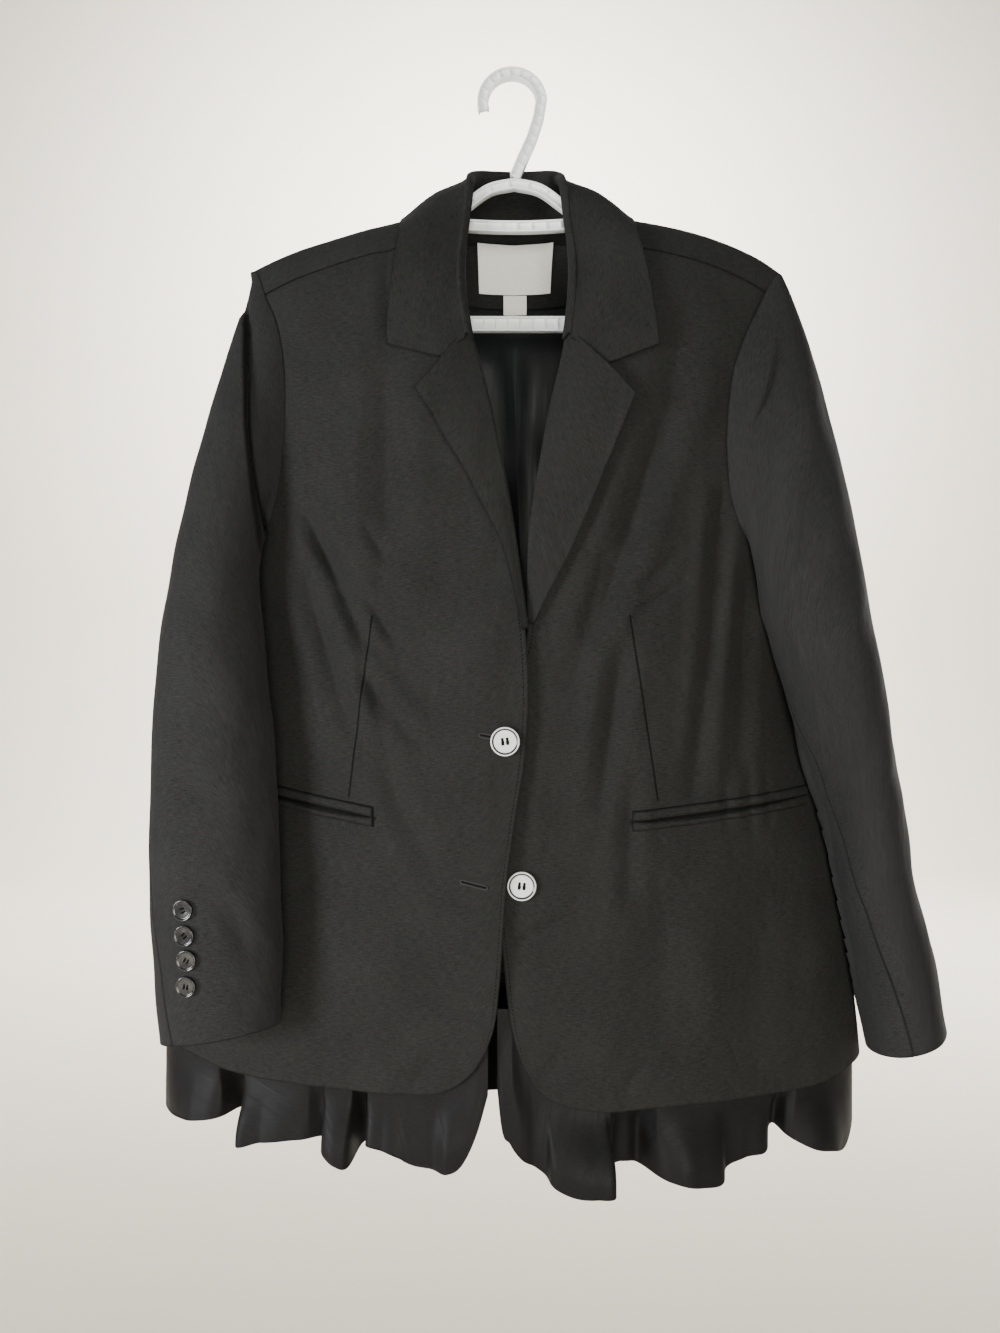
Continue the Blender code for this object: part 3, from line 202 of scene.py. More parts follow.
def form(turn, fall, face):
    """Points of the body's form on the front, face -1, or the back, face 1."""
    face = np.where(fall < 0.0, -face, face)
    fall = np.abs(fall)
    below = np.clip(fall - 1.0, 0.0, None) * FALL_STEP + UNDERARM
    half = two_sided(BODY, "drop", below, turn)
    share = np.sin(turn * math.pi / 2)
    x = half * share
    ridge = ridge_drop(x)
    lean = np.clip(fall, 0.0, 1.0) * math.pi / 2
    drop = np.where(fall < 1.0, ridge + (UNDERARM - ridge) * (1 - np.cos(lean)), below)
    front, back, side, full = (smooth(BODY["drop"], BODY[name], below)
                               for name in ("front", "back", "side", "full"))
    width = np.abs(share)
    off_seam = 1 - width ** SEAM_FADE
    pressed = off_seam * (CREASE_GAIN * creases(FRONT_CREASES, x, drop) + rumple(x, drop))
    forward = side - (side + front) * (1 - width ** full) ** FRONT_POWER + pressed
    rearward = side + (back - side) * (1 - width ** BACK_FULL) ** BACK_POWER
    rearward = rearward - off_seam * rumple(-x, drop)
    behind = smooth(RIDGE["x"], RIDGE["behind"], np.abs(x))
    y = behind + (np.where(face < 0, forward, rearward) - behind) * np.sin(lean)
    return np.stack([x, y, -drop], axis=-1)


def place(x, drop):
    """The turn and fall of points that are given by their x and drop."""
    x, drop = np.asarray(x, float), np.asarray(drop, float)
    half = two_sided(BODY, "drop", np.maximum(drop, UNDERARM), x)
    turn = np.arcsin(np.clip(x / half, -1.0, 1.0)) * 2 / math.pi
    ridge = ridge_drop(x)
    lean = np.arccos(np.clip(1 - (drop - ridge) / (UNDERARM - ridge), 0.0, 1.0))
    return turn, np.where(drop < UNDERARM, lean * 2 / math.pi, 1 + (drop - UNDERARM) / FALL_STEP)


LAP_LIFT, LAP_SINK = 0.0042, 0.0026
LAP_X, LAP_SINK_X, LAP_DROP = (-0.075, -0.015), (0.075, 0.020), (0.385, 0.455)


def lap(side, points):
    """Move a front's points out or in where the two fronts lap."""
    x, drop = points[:, 0], -points[:, 2]
    level = step(LAP_DROP, drop)
    if side == "right":
        shift = -LAP_LIFT * step(LAP_X, x) * level
    else:
        shift = LAP_SINK * step(LAP_SINK_X, x) * level
    return points + np.stack([np.zeros_like(x), shift, np.zeros_like(x)], axis=-1)


NUDGE = 0.002


def lifted(surface, u, v, lift, sign):
    """Points of a surface, moved along its normal; sign says which way the normal counts."""
    along = surface(u + NUDGE, v) - surface(u - NUDGE, v)
    down = surface(u, v + NUDGE) - surface(u, v - NUDGE)
    normal = np.cross(along, down) * sign
    normal /= np.maximum(np.linalg.norm(normal, axis=1, keepdims=True), 1e-12)
    return surface(u, v) + normal * np.broadcast_to(lift, u.shape)[:, None]


def lapped_front(side, turn, fall, lift):
    """Front points from their turn and fall, with the lap and a lift."""
    return lifted(lambda u, v: lap(side, form(u, v, -1.0)), turn, fall, lift, -1.0)


def on_front(side, x, drop, lift):
    """Points that lie off a front by a lift."""
    return lapped_front(side, *place(x, drop), lift)


# %% [markdown]
# ## How a piece of cloth is made
# Each piece starts as a grid. Its UV map holds metres along the cut, so that the weave and the stitches keep
# their size. Solidify gives the cloth its thickness and a small bevel rounds the rim, as a turned edge is.

# %% Helpers for objects
def only(made):
    """Make one object the only selected one."""
    bpy.ops.object.select_all(action="DESELECT")
    bpy.context.view_layer.objects.active = made
    made.select_set(True)


def new_object(name, data):
    """A new object of this data, in the scene and selected alone."""
    made = bpy.data.objects.new(name, data)
    bpy.context.scene.collection.objects.link(made)
    only(made)
    return made


def soften(made, width, segments, degrees):
    """Bevel the edges of a selected object that turn by more than an angle."""
    soft = made.modifiers.new("soft", "BEVEL")
    soft.width, soft.segments, soft.limit_method, soft.angle_limit = width, segments, "ANGLE", math.radians(degrees)
    bpy.ops.object.modifier_apply(modifier="soft")


def mark(mesh, name, values):
    """Give each point of a mesh a value that a material can read."""
    values = np.asarray(values, np.float32).ravel()
    mesh.attributes.new(name, "FLOAT", "POINT").data.foreach_set("value", values)


# %% The cloth maker
SHEETS = {}
RIM_SHARE, RIM_ANGLE = 0.42, 60


def cloth(name, surface, across, down, wall, heart, grow=1.0):
    """A piece of cloth on a surface of u and v, named for the CAD node that it stands for."""
    us, vs = (np.linspace(0, 1, axis) if isinstance(axis, int) else axis for axis in (across, down))
    u, v = (axis.ravel() for axis in np.meshgrid(us, vs, indexing="ij"))
    points = surface(u, v)
    grid = points.reshape(len(us), len(vs), 3)
    index = np.arange(len(points)).reshape(len(us), len(vs))
    quads = np.stack([index[:-1, :-1], index[1:, :-1], index[1:, 1:], index[:-1, 1:]], axis=-1).reshape(-1, 4)
    normal = np.cross(grid[1:, :-1] - grid[:-1, :-1], grid[:-1, 1:] - grid[:-1, :-1])
    outward = ((grid[:-1, :-1] - heart) * (1, 1, 0) * normal).sum()
    quads = quads if outward > 0 else quads[:, ::-1]
    mesh = bpy.data.meshes.new(name + "_cloth")
    mesh.from_pydata(points.tolist(), [], quads.tolist())
    width = np.zeros(index.shape)
    length = np.zeros(index.shape)
    width[1:] = np.cumsum(np.linalg.norm(np.diff(grid, axis=0), axis=2), axis=0)
    length[:, 1:] = np.cumsum(np.linalg.norm(np.diff(grid, axis=1), axis=2), axis=1)
    corners = np.empty(len(mesh.loops), np.int32)
    mesh.loops.foreach_get("vertex_index", corners)
    cut = np.stack([width.ravel(), length.ravel()], axis=-1)[corners]
    mesh.uv_layers.new(name="cut").data.foreach_set("uv", cut.astype(np.float32).ravel())
    # Each point keeps its distance to the piece's border; the suiting turns it into a painted shade along every edge.
    mark(mesh, "border", np.minimum(np.minimum(width, width[-1:] - width),
                                    np.minimum(length, length[:, -1:] - length)))
    mesh.shade_smooth()
    made = SHEETS[name] = new_object(name + "_cloth", mesh)
    solid = made.modifiers.new("wall", "SOLIDIFY")
    solid.thickness, solid.offset = wall, grow
    bpy.ops.object.modifier_apply(modifier="wall")
    soften(made, wall * RIM_SHARE, 2, RIM_ANGLE)
    made.data.shade_smooth()
    print(f"{name}: {len(made.data.polygons)} faces, {np.linalg.norm(normal, axis=2).sum():.4f} m2, "
          f"{width.max():.3f} by {length.max():.3f} m")
    return made


INSIDE = np.array([0.0, 0.0, -0.5])
BEHIND = np.array([0.0, 5.0, -0.5])
SHELL_WALL = 0.0016

# %% [markdown]
# ## The fronts
# Each front runs from the shoulder seam to the rounded corner. Its inner edge is the lapel's roll line and
# then the buttoning edge. Along the armhole and the shoulder the cloth turns in, as a pressed seam does.

# %% Seams of the fronts
SIGN = {"right": -1.0, "left": 1.0}
SEAM_FALL, SEAM_SPLIT, SHOULDER_END = 0.30, 0.0012, 1.006
RIGHT_EDGE = table("x drop",
    (-0.058, 0.112), (-0.052, 0.14), (-0.049, 0.175), (-0.045, 0.203), (-0.0385, 0.226), (-0.023, 0.278),
    (-0.0104, 0.3385), (-0.0028, 0.383), (0.008, 0.462), (0.0097, 0.5), (0.0065, 0.554), (0.0, 0.595),
    (-0.006, 0.638), (-0.0096, 0.685), (-0.0127, 0.727), (-0.0165, 0.755), (-0.022, 0.771), (-0.0315, 0.788))
LEFT_EDGE = table("x drop",
    (0.059, 0.112), (0.054, 0.14), (0.0515, 0.165), (0.049, 0.2), (0.0427, 0.2276), (0.0324, 0.271),
    (0.0193, 0.338), (0.0139, 0.372), (0.0105, 0.42), (0.006, 0.47), (-0.014, 0.51), (-0.026, 0.55),
    (-0.022, 0.6), (-0.016, 0.648), (-0.0095, 0.705), (-0.003, 0.757), (0.002, 0.776), (0.015, 0.803))
RIGHT_HEM = table("x drop",
    (-0.0315, 0.788), (-0.045, 0.8005), (-0.06, 0.807), (-0.089, 0.8095), (-0.1285, 0.809), (-0.17, 0.807),
    (-0.223, 0.805), (-0.2606, 0.797), (-0.296, 0.787))
LEFT_HEM = table("x drop",
    (0.015, 0.803), (0.027, 0.8125), (0.049, 0.82), (0.0648, 0.8222), (0.104, 0.8212), (0.144, 0.8208),
    (0.197, 0.8205), (0.2336, 0.8202), (0.2766, 0.812), (0.2885, 0.805))
RIGHT_ARMHOLE = table("x drop",
    (-0.2125, 0.1592), (-0.2017, 0.182), (-0.19, 0.211), (-0.184, 0.243), (-0.1825, 0.2775), (-0.184, 0.305),
    (-0.188, 0.336), (-0.196, 0.364), (-0.207, 0.386), (-0.223, 0.398))
LEFT_ARMHOLE = table("x drop",
    (0.2175, 0.1617), (0.199, 0.187), (0.182, 0.222), (0.1726, 0.248), (0.168, 0.2775), (0.166, 0.314),
    (0.169, 0.345), (0.178, 0.372), (0.195, 0.39), (0.224, 0.3985))
UNDERARM_SHARE, HOLE_FROM = 0.50, 0.05
SEAM_TUCK, TUCK_WIDTH, TUCK_FROM, TUCK_TOP = 0.0009, 0.024, (0.49, 0.52), 0.012


# %% Make the fronts
def placed(rows, sign=1.0):
    """The turns and falls of a seam's points."""
    return np.stack(place(sign * rows["x"], rows["drop"]), axis=-1)


def shoulder_end(armhole, fall):
    """The turn at which a front or the back stops short of the sleeve, at a fall of the armhole."""
    falls = place(armhole["x"], armhole["drop"])[1]
    falls[0] = 0.0
    x, drop = (np.interp(fall, falls, armhole[name]) for name in ("x", "drop"))
    return place(x * SHOULDER_END, drop)[0]


def front_surface(side, edge, hem, armhole):
    """A front, from its hem to the shoulder seam and from its edge to the side seam and armhole."""
    edge_line, hem_line, hole_line = placed(edge)[::-1], placed(hem), placed(armhole)[::-1]
    hem_line[-1, 0] = SIGN[side] * SIDE_TURN
    hole_line[0] = (SIGN[side] * SIDE_TURN, 1.0)
    keep_hole = hole_line[:, 1] > SEAM_FALL + HOLE_FROM
    top_out = np.array([[shoulder_end(armhole, SEAM_FALL), SEAM_FALL + SEAM_SPLIT]])
    hole_line = np.concatenate([hole_line[keep_hole], top_out])
    edge_line[-1, 1] = SEAM_FALL + SEAM_SPLIT
    outer = chain(trace([hem_line[-1], hole_line[0]]), trace(hole_line), UNDERARM_SHARE)
    laid = patch(trace(hem_line), trace([edge_line[-1], hole_line[-1]]), trace(edge_line), outer)

    def surface(u, v):
        turn, fall = laid(u, v).T
        tuck = np.maximum((1 - step((0.0, TUCK_WIDTH), 1 - u)) * step(TUCK_FROM, v),
                          0.5 * (1 - step((0.0, TUCK_TOP), 1 - v)))
        return lapped_front(side, turn, fall, -SEAM_TUCK * tuck)
    return surface


EDGES = {"right": (RIGHT_EDGE, RIGHT_HEM, RIGHT_ARMHOLE), "left": (LEFT_EDGE, LEFT_HEM, LEFT_ARMHOLE)}
for side, seams in EDGES.items():
    cloth(side + "_front", front_surface(side, *seams), 121, 251, SHELL_WALL, INSIDE)

# %% [markdown]
# ## The back
# One panel covers the back and comes over the ridge to the forward shoulder seams. Its columns crowd together
# at the neck, where the cloth curves most.

# %% Make the back
BACK_ARMHOLE = table("x drop",
    (0.215, 0.1605), (0.206, 0.2), (0.2, 0.25), (0.199, 0.3), (0.203, 0.345), (0.211, 0.378), (0.2235, 0.3982))
NECKLINE = table("share fall",
    (0.0, 0.09), (0.125, 0.06), (0.209, -0.066), (0.262, -0.16), (0.3, -0.298), (1.0, -0.298))
BACK_LOW_SHARE, BACK_CROWD, BACK_HEM_DROP = 0.55, 1.5, 0.7840


def back_side(sign, armhole):
    """The back's side edge: its turns at rising falls, from the shoulder seam to the side seam."""
    turns, falls = place(sign * BACK_ARMHOLE["x"], BACK_ARMHOLE["drop"])
    falls[0], falls[-1] = 0.0, 1.0
    turns[0], turns[-1] = shoulder_end(armhole, 0.0), sign * SIDE_TURN
    top = shoulder_end(armhole, SEAM_FALL)
    return np.concatenate([[-SEAM_FALL], falls]), np.concatenate([[top], turns])


BACK_SIDES = {side: back_side(SIGN[side], seams[2]) for side, seams in EDGES.items()}


def on_back(share, fall):
    """Points of the back, at a share of the way from the centre, 0, to its side edges, -1 and 1."""
    right, left = (np.abs(smooth(*BACK_SIDES[side], fall)) for side in ("right", "left"))
    return form(share * np.where(share < 0, right, left), fall, 1.0)


def back_share(u):
    """Columns of the back, closer together near the neck."""
    return np.sign(2 * u - 1) * np.abs(2 * u - 1) ** BACK_CROWD


def back_surface(u, v):
    """The back, from its hem, over the ridge of the shoulders, to the forward shoulder seams."""
    share = back_share(u)
    sides = [place(end["x"][-1], end["drop"][-1])[1] for end in (RIGHT_HEM, LEFT_HEM)]
    middle = place(0.0, BACK_HEM_DROP)[1]
    hem = middle + (np.where(share < 0, *sides) - middle) * step((0.5, 1.0), np.abs(share))
    top = np.interp(np.abs(share), NECKLINE["share"], NECKLINE["fall"])
    low = hem + (1 - hem) * v / BACK_LOW_SHARE
    high = 1 + (top - 1) * (v - BACK_LOW_SHARE) / (1 - BACK_LOW_SHARE)
    return on_back(share, np.where(v < BACK_LOW_SHARE, low, high))


cloth("back", back_surface, 121, 161, SHELL_WALL, INSIDE)

# %% [markdown]
# ## The sleeves
# A set-in sleeve is two panels, a wide top one and a narrow under one. Its head is eased into the armhole,
# so it rolls up from the seam, and below it the tube hangs in front of the body and folds against it.

# %% Sections and seams of the sleeves
SLEEVE_ROWS = {
    "right": table("drop x y half_width half_depth",
        (0.445, -0.2358, -0.042, 0.0368, 0.036), (0.5, -0.2348, -0.049, 0.0422, 0.032),
        (0.555, -0.2323, -0.053, 0.0458, 0.03), (0.61, -0.2315, -0.055, 0.0475, 0.028),
        (0.665, -0.23, -0.056, 0.0485, 0.027), (0.717, -0.2277, -0.057, 0.0471, 0.026),
        (0.762, -0.2264, -0.057, 0.0444, 0.025)),
    "left": table("drop x y half_width half_depth",
        (0.445, 0.2394, -0.027, 0.0414, 0.037), (0.5, 0.2548, -0.022, 0.0372, 0.04),
        (0.555, 0.2705, -0.012, 0.0332, 0.042), (0.61, 0.2865, -0.004, 0.0282, 0.043),
        (0.665, 0.297, 0.001, 0.0274, 0.043), (0.717, 0.3098, 0.003, 0.0289, 0.043),
        (0.786, 0.3213, 0.004, 0.0284, 0.042))}
CUFF_SLANT, CUFF_SLANT_FROM = {"right": 0.17, "left": -0.34}, 0.65
CAP_SHARE, CAP_PULL, SLEEVE_NEXT = 0.40, 0.70, 0.020
CAP_LEAN, UNDERARM_LEAN = {"right": 0.13, "left": 0.45}, 0.20
CAP_SPREAD, CAP_BEHIND, CAP_FORWARD, CAP_FALL, CAP_DIP = 0.43, 0.4, 0.45, 0.55, 0.35
SLEEVE_TWIST, TWIST_DROP = 0.95, (0.445, 0.560)
SLEEVE_CLEAR, ARMHOLE_EASE, SEAM_MARGIN = {"right": 0.0080, "left": 0.0045}, 0.012, 0.0002
CLEAR_EASE, CLEAR_EDGE, CLEAR_SOFT, CLEAR_GROWS = (-0.012, 0.012), (-0.006, 0.002), 0.55, (0.0, 0.30)
NESTLE, NESTLE_FROM, NESTLE_TO = {"right": 0.0, "left": 0.015}, (0.50, 0.58), (0.70, 0.77)
SLEEVE_SEAMS = {"right_back": (-0.14, 0.13, 1.0, 1.0), "right_front": (0.43, 0.70, 1.0, 1.0),
                "left_back": (-0.22, -0.30, 1.0, 1.0), "left_front": (0.44, 0.292, 0.32, 1.3)}
SLEEVE_CREASES = table("x drop to_x to_drop half depth",
    (-0.262, 0.56, -0.215, 0.59, 0.011, 0.0016), (-0.27, 0.61, -0.235, 0.6, 0.009, 0.0012),
    (-0.215, 0.65, -0.2, 0.7, 0.007, 0.0016), (-0.24, 0.63, -0.205, 0.69, 0.008, 0.0014),
    (-0.255, 0.47, -0.24, 0.64, 0.018, 0.002), (0.205, 0.29, 0.183, 0.37, 0.013, 0.003),
    (0.246, 0.23, 0.252, 0.33, 0.013, 0.0022), (0.25, 0.47, 0.27, 0.56, 0.014, 0.0018),
    (0.3, 0.56, 0.27, 0.6, 0.01, 0.0014), (0.305, 0.64, 0.285, 0.68, 0.009, 0.0014))

# %% [markdown]
# Below the shoulder's end the head doubles over in one sharp fold. `FOLDS` gives its line; one side of it
# stands proud, the other drops away, and both ease out over a small distance.

# %% The sleeve heads' folds
FOLDS = {"right": table("drop x",
    (0.158, -0.2235), (0.185, -0.22), (0.215, -0.2155), (0.255, -0.2115), (0.296, -0.2085), (0.335, -0.2042),
    (0.375, -0.1995), (0.414, -0.1975)),
         "left": table("drop x",
             (0.204, 0.2093), (0.228, 0.2073), (0.259, 0.1994), (0.287, 0.1876), (0.311, 0.1769))}
FOLD_HEIGHTS = {"right": (0.0028, -0.0078), "left": (-0.0032, 0.0016)}
FOLD_EASE, FOLD_SHARP, FOLD_AHEAD = (0.020, 0.0065), 0.0014, -0.004
FOLD_OPENS, FOLD_CLOSES, FOLD_OPEN = 0.060, 0.045, 0.02
FOLD_ROUND, HEAD_EASE, RUMPLE_EASE = ((0.0, 0.08), (0.44, 0.5)), (0.0, 0.05), (0.05, 0.2)


def fold(side, x, drop):
    """How far the sleeve head's fold lifts the cloth, how far inward of it a point is, and how open it is."""
    line = FOLDS[side]
    inward = (np.interp(drop, line["drop"], line["x"]) - x) * SIGN[side]
    outer, inner = (height * np.exp(-np.abs(inward) / ease)
                    for height, ease in zip(FOLD_HEIGHTS[side], FOLD_EASE))
    top, end = line["drop"][[0, -1]]
    window = step((top, top + FOLD_OPENS), drop) * (1 - step((end - FOLD_CLOSES, end), drop))
    return window * (outer + (inner - outer) * step((-FOLD_SHARP, FOLD_SHARP), inward)), inward, window


# %% The sleeve's surface
def sleeve_ring(rows, side, drop, around):
    """Points of a sleeve's section. around is 0 outside, 0.25 in front and 0.5 at the underarm."""
    x, y, half_width, half_depth = (smooth(rows["drop"], rows[name], drop)
                                    for name in ("x", "y", "half_width", "half_depth"))
    twist = SLEEVE_TWIST * np.sin(math.pi * around) ** 2 * (1 - step(TWIST_DROP, drop))
    angle = around * 2 * math.pi + twist
    return np.stack([x + SIGN[side] * half_width * np.cos(angle), y - half_depth * np.sin(angle), -drop], axis=-1)


def clear_body(armhole, points, around, room):
    """Move a sleeve's points off the body: forward ahead of the underarm, and sideways behind it."""
    x, y, drop = points[:, 0], points[:, 1], -points[:, 2]
    width = np.abs(x)
    half = two_sided(BODY, "drop", np.maximum(drop, UNDERARM), x)
    body_y = form(*place(x * half / (half + room), drop), -1.0)[:, 1] - room
    lower = np.argmin(np.abs(armhole["x"]))
    line = np.interp(width, np.abs(armhole["x"])[lower:], armhole["drop"][lower:]) - ARMHOLE_EASE
    ahead = np.mod(around, 1.0) <= 0.5
    edge = np.where(drop < UNDERARM, smooth(BACK_ARMHOLE["drop"], BACK_ARMHOLE["x"], drop), half) + room
    inside = (width < edge) & (y > body_y)
    nearer_side = (x > 0) | (drop < UNDERARM) | (edge - width < y - body_y)
    sideways = inside & ~ahead & nearer_side
    below = step(CLEAR_EASE, drop - np.where(ahead, line, UNDERARM))
    near = (1 - step(CLEAR_EDGE, width - half - room)) * np.where(sideways, 0.0, below)
    soft = CLEAR_SOFT * room + 1e-5
    rounded = body_y + np.minimum(y - body_y, 0) - soft * np.log1p(np.exp(-np.abs(y - body_y) / soft))
    moved_x = np.where(sideways, np.sign(x) * edge, x)
    return np.stack([moved_x, y + near * (rounded - y), points[:, 2]], axis=-1)


def sleeve_surface(side, rows, armhole):
    """A whole sleeve: around 0 to 1 round it, and along 0 at the armhole to 1 at the cuff."""
    sign = SIGN[side]
    front_hole, back_hole = placed(armhole), placed(BACK_ARMHOLE, sign)
    for hole in (front_hole, back_hole):
        hole[0] = (front_hole[0, 0], 0.0)
        hole[-1] = (sign * SIDE_TURN, 1.0)
    front_line, back_line = trace(front_hole), trace(back_hole)
    first, last = rows["drop"][0], rows["drop"][-1]

    def smooth_sleeve(around, along):
        around = np.mod(around, 1.0)
        ahead = around <= 0.5
        share = np.where(ahead, around, 1.0 - around) * 2.0
        turn, fall = np.where(ahead[:, None], front_line(share), back_line(share)).T
        seam = lifted(lambda u, v: form(u, v, np.where(ahead, -1.0, 1.0)), turn, fall,
                      SHELL_WALL * 0.3, np.where(ahead, -1.0, 1.0)[:, None])
        angle = around * 2 * math.pi
        behind = np.clip(-np.sin(angle), 0.0, None)
        lean = UNDERARM_LEAN + (CAP_LEAN[side] - UNDERARM_LEAN) * (1 + np.cos(angle)) / 2
        out = np.stack([sign * (lean + CAP_SPREAD * np.abs(np.sin(angle)) + CAP_BEHIND * behind),
                        -CAP_FORWARD * np.sin(angle), -CAP_FALL - CAP_DIP * np.cos(angle) ** 2], axis=-1)
        out /= np.linalg.norm(out, axis=1, keepdims=True)
        ring = sleeve_ring(rows, side, np.full_like(around, first), around)
        up = ring - sleeve_ring(rows, side, np.full_like(around, first + SLEEVE_NEXT), around)
        up /= np.linalg.norm(up, axis=1, keepdims=True)
        part = np.clip(along / CAP_SHARE, 0.0, 1.0)[:, None]
        length = np.linalg.norm(ring - seam, axis=1, keepdims=True) * CAP_PULL
        rest = 1 - part
        cap = (seam * (1 + 2 * part) * rest ** 2 + out * length * part * rest ** 2
               + ring * (3 - 2 * part) * part ** 2 + up * length * rest * part ** 2)
        drop = first + np.clip((along - CAP_SHARE) / (1 - CAP_SHARE), 0.0, 1.0) * (last - first)
        tube = sleeve_ring(rows, side, drop, around)
        tucked = 2 * behind * np.clip(-np.cos(angle), 0.0, None) * (1 - step(NESTLE_TO, drop))
        tube[:, 0] -= sign * NESTLE[side] * tucked * step(NESTLE_FROM, drop)
        slant = CUFF_SLANT[side] * (np.abs(tube[:, 0]) - abs(rows["x"][-1]))
        tube[:, 2] -= slant * step((CUFF_SLANT_FROM, 1.0), along)
        room = SLEEVE_CLEAR[side] * step(CLEAR_GROWS, part[:, 0])
        return clear_body(armhole, np.where(part < 1.0, cap, tube), around, room)

    def surface(around, along):
        x, y, z = smooth_sleeve(around, along).T
        ahead = step(FOLD_ROUND[0], np.mod(around, 1.0)) * (1 - step(FOLD_ROUND[1], np.mod(around, 1.0)))
        lift = fold(side, x, -z)[0] - creases(SLEEVE_CREASES, x, -z)
        lift = lift * ahead * step(HEAD_EASE, along)
        lift = lift - rumple(x + y, -z) * step(RUMPLE_EASE, along)
        return lifted(smooth_sleeve, around, along, lift, sign)
    return surface


def seam_share(name, along):
    """A sleeve seam's share of the way round."""
    armhole, cuff, span, bend = SLEEVE_SEAMS[name]
    return cuff + (armhole - cuff) * np.clip((1 - along) / span, 0.0, 1.0) ** bend


def sleeve_panel(surface, start, end, turns):
    """The part of a sleeve between two seams, the second one some whole turns further on."""
    def panel(u, v):
        left = seam_share(start, v) + SEAM_MARGIN
        right = seam_share(end, v) + turns - SEAM_MARGIN
        return surface(left + (right - left) * u, v)
    return panel


# %% Make the sleeves
SLEEVES = {}
for side, rows in SLEEVE_ROWS.items():
    whole = SLEEVES[side] = sleeve_surface(side, rows, EDGES[side][2])
    heart = np.array([rows["x"].mean(), rows["y"].mean(), -0.55])
    top = cloth(side + "_top_sleeve", sleeve_panel(whole, side + "_back", side + "_front", 0.0),
                131, 201, SHELL_WALL, heart)
    under = cloth(side + "_under_sleeve", sleeve_panel(whole, side + "_front", side + "_back", 1.0),
                  46, 161, SHELL_WALL, heart)
    # On the right sleeve's top panel, points near the head's fold keep their offset from it, for a painted shade line
    # along the fold.
    for panel in (top, under):
        x, y, z = np.array([vertex.co for vertex in panel.data.vertices]).T
        _, inward, window = fold(side, x, -z)
        deep = (window > FOLD_OPEN) & (y < FOLD_AHEAD) & (side == "right") & (panel == top)
        mark(panel.data, "fold_shade_offset", np.where(deep, inward / np.maximum(window, FOLD_OPEN), 1.0))

# %% [markdown]
# ## The lapels
# A lapel is the top of the front's facing, turned back at the roll line. Its section starts inside, rolls
# round the front's edge and lies on the chest, with its outer edge standing a little off the cloth.

# %% Make the lapels
LAPELS = {"right": table("roll_x roll_drop edge_x edge_drop",
    (-0.0395, 0.2205, -0.076, 0.2705), (-0.0305, 0.248, -0.068, 0.285), (-0.023, 0.278, -0.054, 0.308),
    (-0.0166, 0.308, -0.041, 0.33), (-0.0104, 0.3385, -0.027, 0.356), (-0.0028, 0.383, -0.01, 0.392),
    (0.007, 0.453, 0.0045, 0.455)),
          "left": table("roll_x roll_drop edge_x edge_drop",
              (0.0436, 0.2215, 0.0918, 0.2752), (0.038, 0.249, 0.086, 0.292), (0.0324, 0.271, 0.078, 0.312),
              (0.0258, 0.302, 0.067, 0.338), (0.0193, 0.338, 0.054, 0.368), (0.0139, 0.372, 0.042, 0.394),
              (0.0115, 0.42, 0.022, 0.433), (0.0115, 0.448, 0.014, 0.451))}
LAPEL_WALL = 0.0018
LAPEL_ROLL, ROLL_SHARE = 0.0022, 0.22
LAPEL_EDGE = {"right": 0.0044, "left": 0.0056}
LAPEL_TAPER, LAPEL_OFF, LAPEL_SETTLE, LAPEL_CROWN = 0.55, 0.0006, 0.62, 0.0016


def lapel_surface(side, rows):
    """A lapel, from inside the roll line, round it and out to its edge."""
    roll = trace(np.stack([rows["roll_x"], rows["roll_drop"]], axis=-1))
    edge = trace(np.stack([rows["edge_x"], rows["edge_drop"]], axis=-1))

    def surface(u, v):
        flat = np.clip((u - ROLL_SHARE) / (1 - ROLL_SHARE), 0.0, 1.0)
        angle = (np.clip(u / ROLL_SHARE, 0.0, 1.0) - 0.5) * math.pi
        size = LAPEL_ROLL * (1 - LAPEL_TAPER * v)
        spot = (1 - flat[:, None]) * roll(v) + flat[:, None] * edge(v)
        x = spot[:, 0] - SIGN[side] * size * np.cos(angle)
        lift = SHELL_WALL * 0.5 + size * np.sin(angle) + LAPEL_OFF
        lift = lift + LAPEL_EDGE[side] * flat * (1 - LAPEL_SETTLE * v)
        lift = lift + LAPEL_CROWN * np.sin(math.pi * flat) * (1 - v)
        return on_front(side, x, spot[:, 1], lift)
    return surface


roll_stations = np.concatenate([np.linspace(0, ROLL_SHARE, 13), np.linspace(ROLL_SHARE, 1, 34)[1:]])
for side, rows in LAPELS.items():
    cloth(side + "_lapel", lapel_surface(side, rows), roll_stations, 111, LAPEL_WALL, BEHIND)

# %% [markdown]
# ## The collar
# The collar is one folded band. It stands up from the neck seam, rolls over and falls to its outer edge; its
# front ends are sewn to the lapels along the gorge and stop at the notch.

# %% Sizes of the collar
COLLAR = table("roll_right roll_left roll_y roll_drop edge_right edge_left edge_drop face neck_x neck_y neck_drop",
    (0.0, 0.0, 0.047, 0.057, 0.0, 0.0, 0.118, 1.0, 0.0, 0.045, 0.106),
    (0.026, 0.026, 0.04, 0.059, 0.043, 0.045, 0.117, 1.0, 0.028, 0.0395, 0.105),
    (0.036, 0.037, 0.02, 0.069, 0.07, 0.073, 0.114, 1.0, 0.049, 0.023, 0.102),
    (0.0375, 0.0405, -0.006, 0.087, 0.086, 0.0895, 0.1178, 1.0, 0.056, 0.001, 0.095),
    (0.041, 0.044, -0.018, 0.124, 0.0915, 0.0965, 0.14, -1.0, 0.053, -0.0115, 0.106),
    (0.044, 0.047, -0.03, 0.157, 0.094, 0.103, 0.171, -1.0, 0.0472, -0.022, 0.157),
    (0.0432, 0.046, -0.042, 0.184, 0.0965, 0.107, 0.204, -1.0, 0.0445, -0.034, 0.184),
    (0.0375, 0.0417, -0.053, 0.225, 0.0987, 0.1093, 0.234, -1.0, 0.0345, -0.0455, 0.2245))
COLLAR_WALL = 0.0018
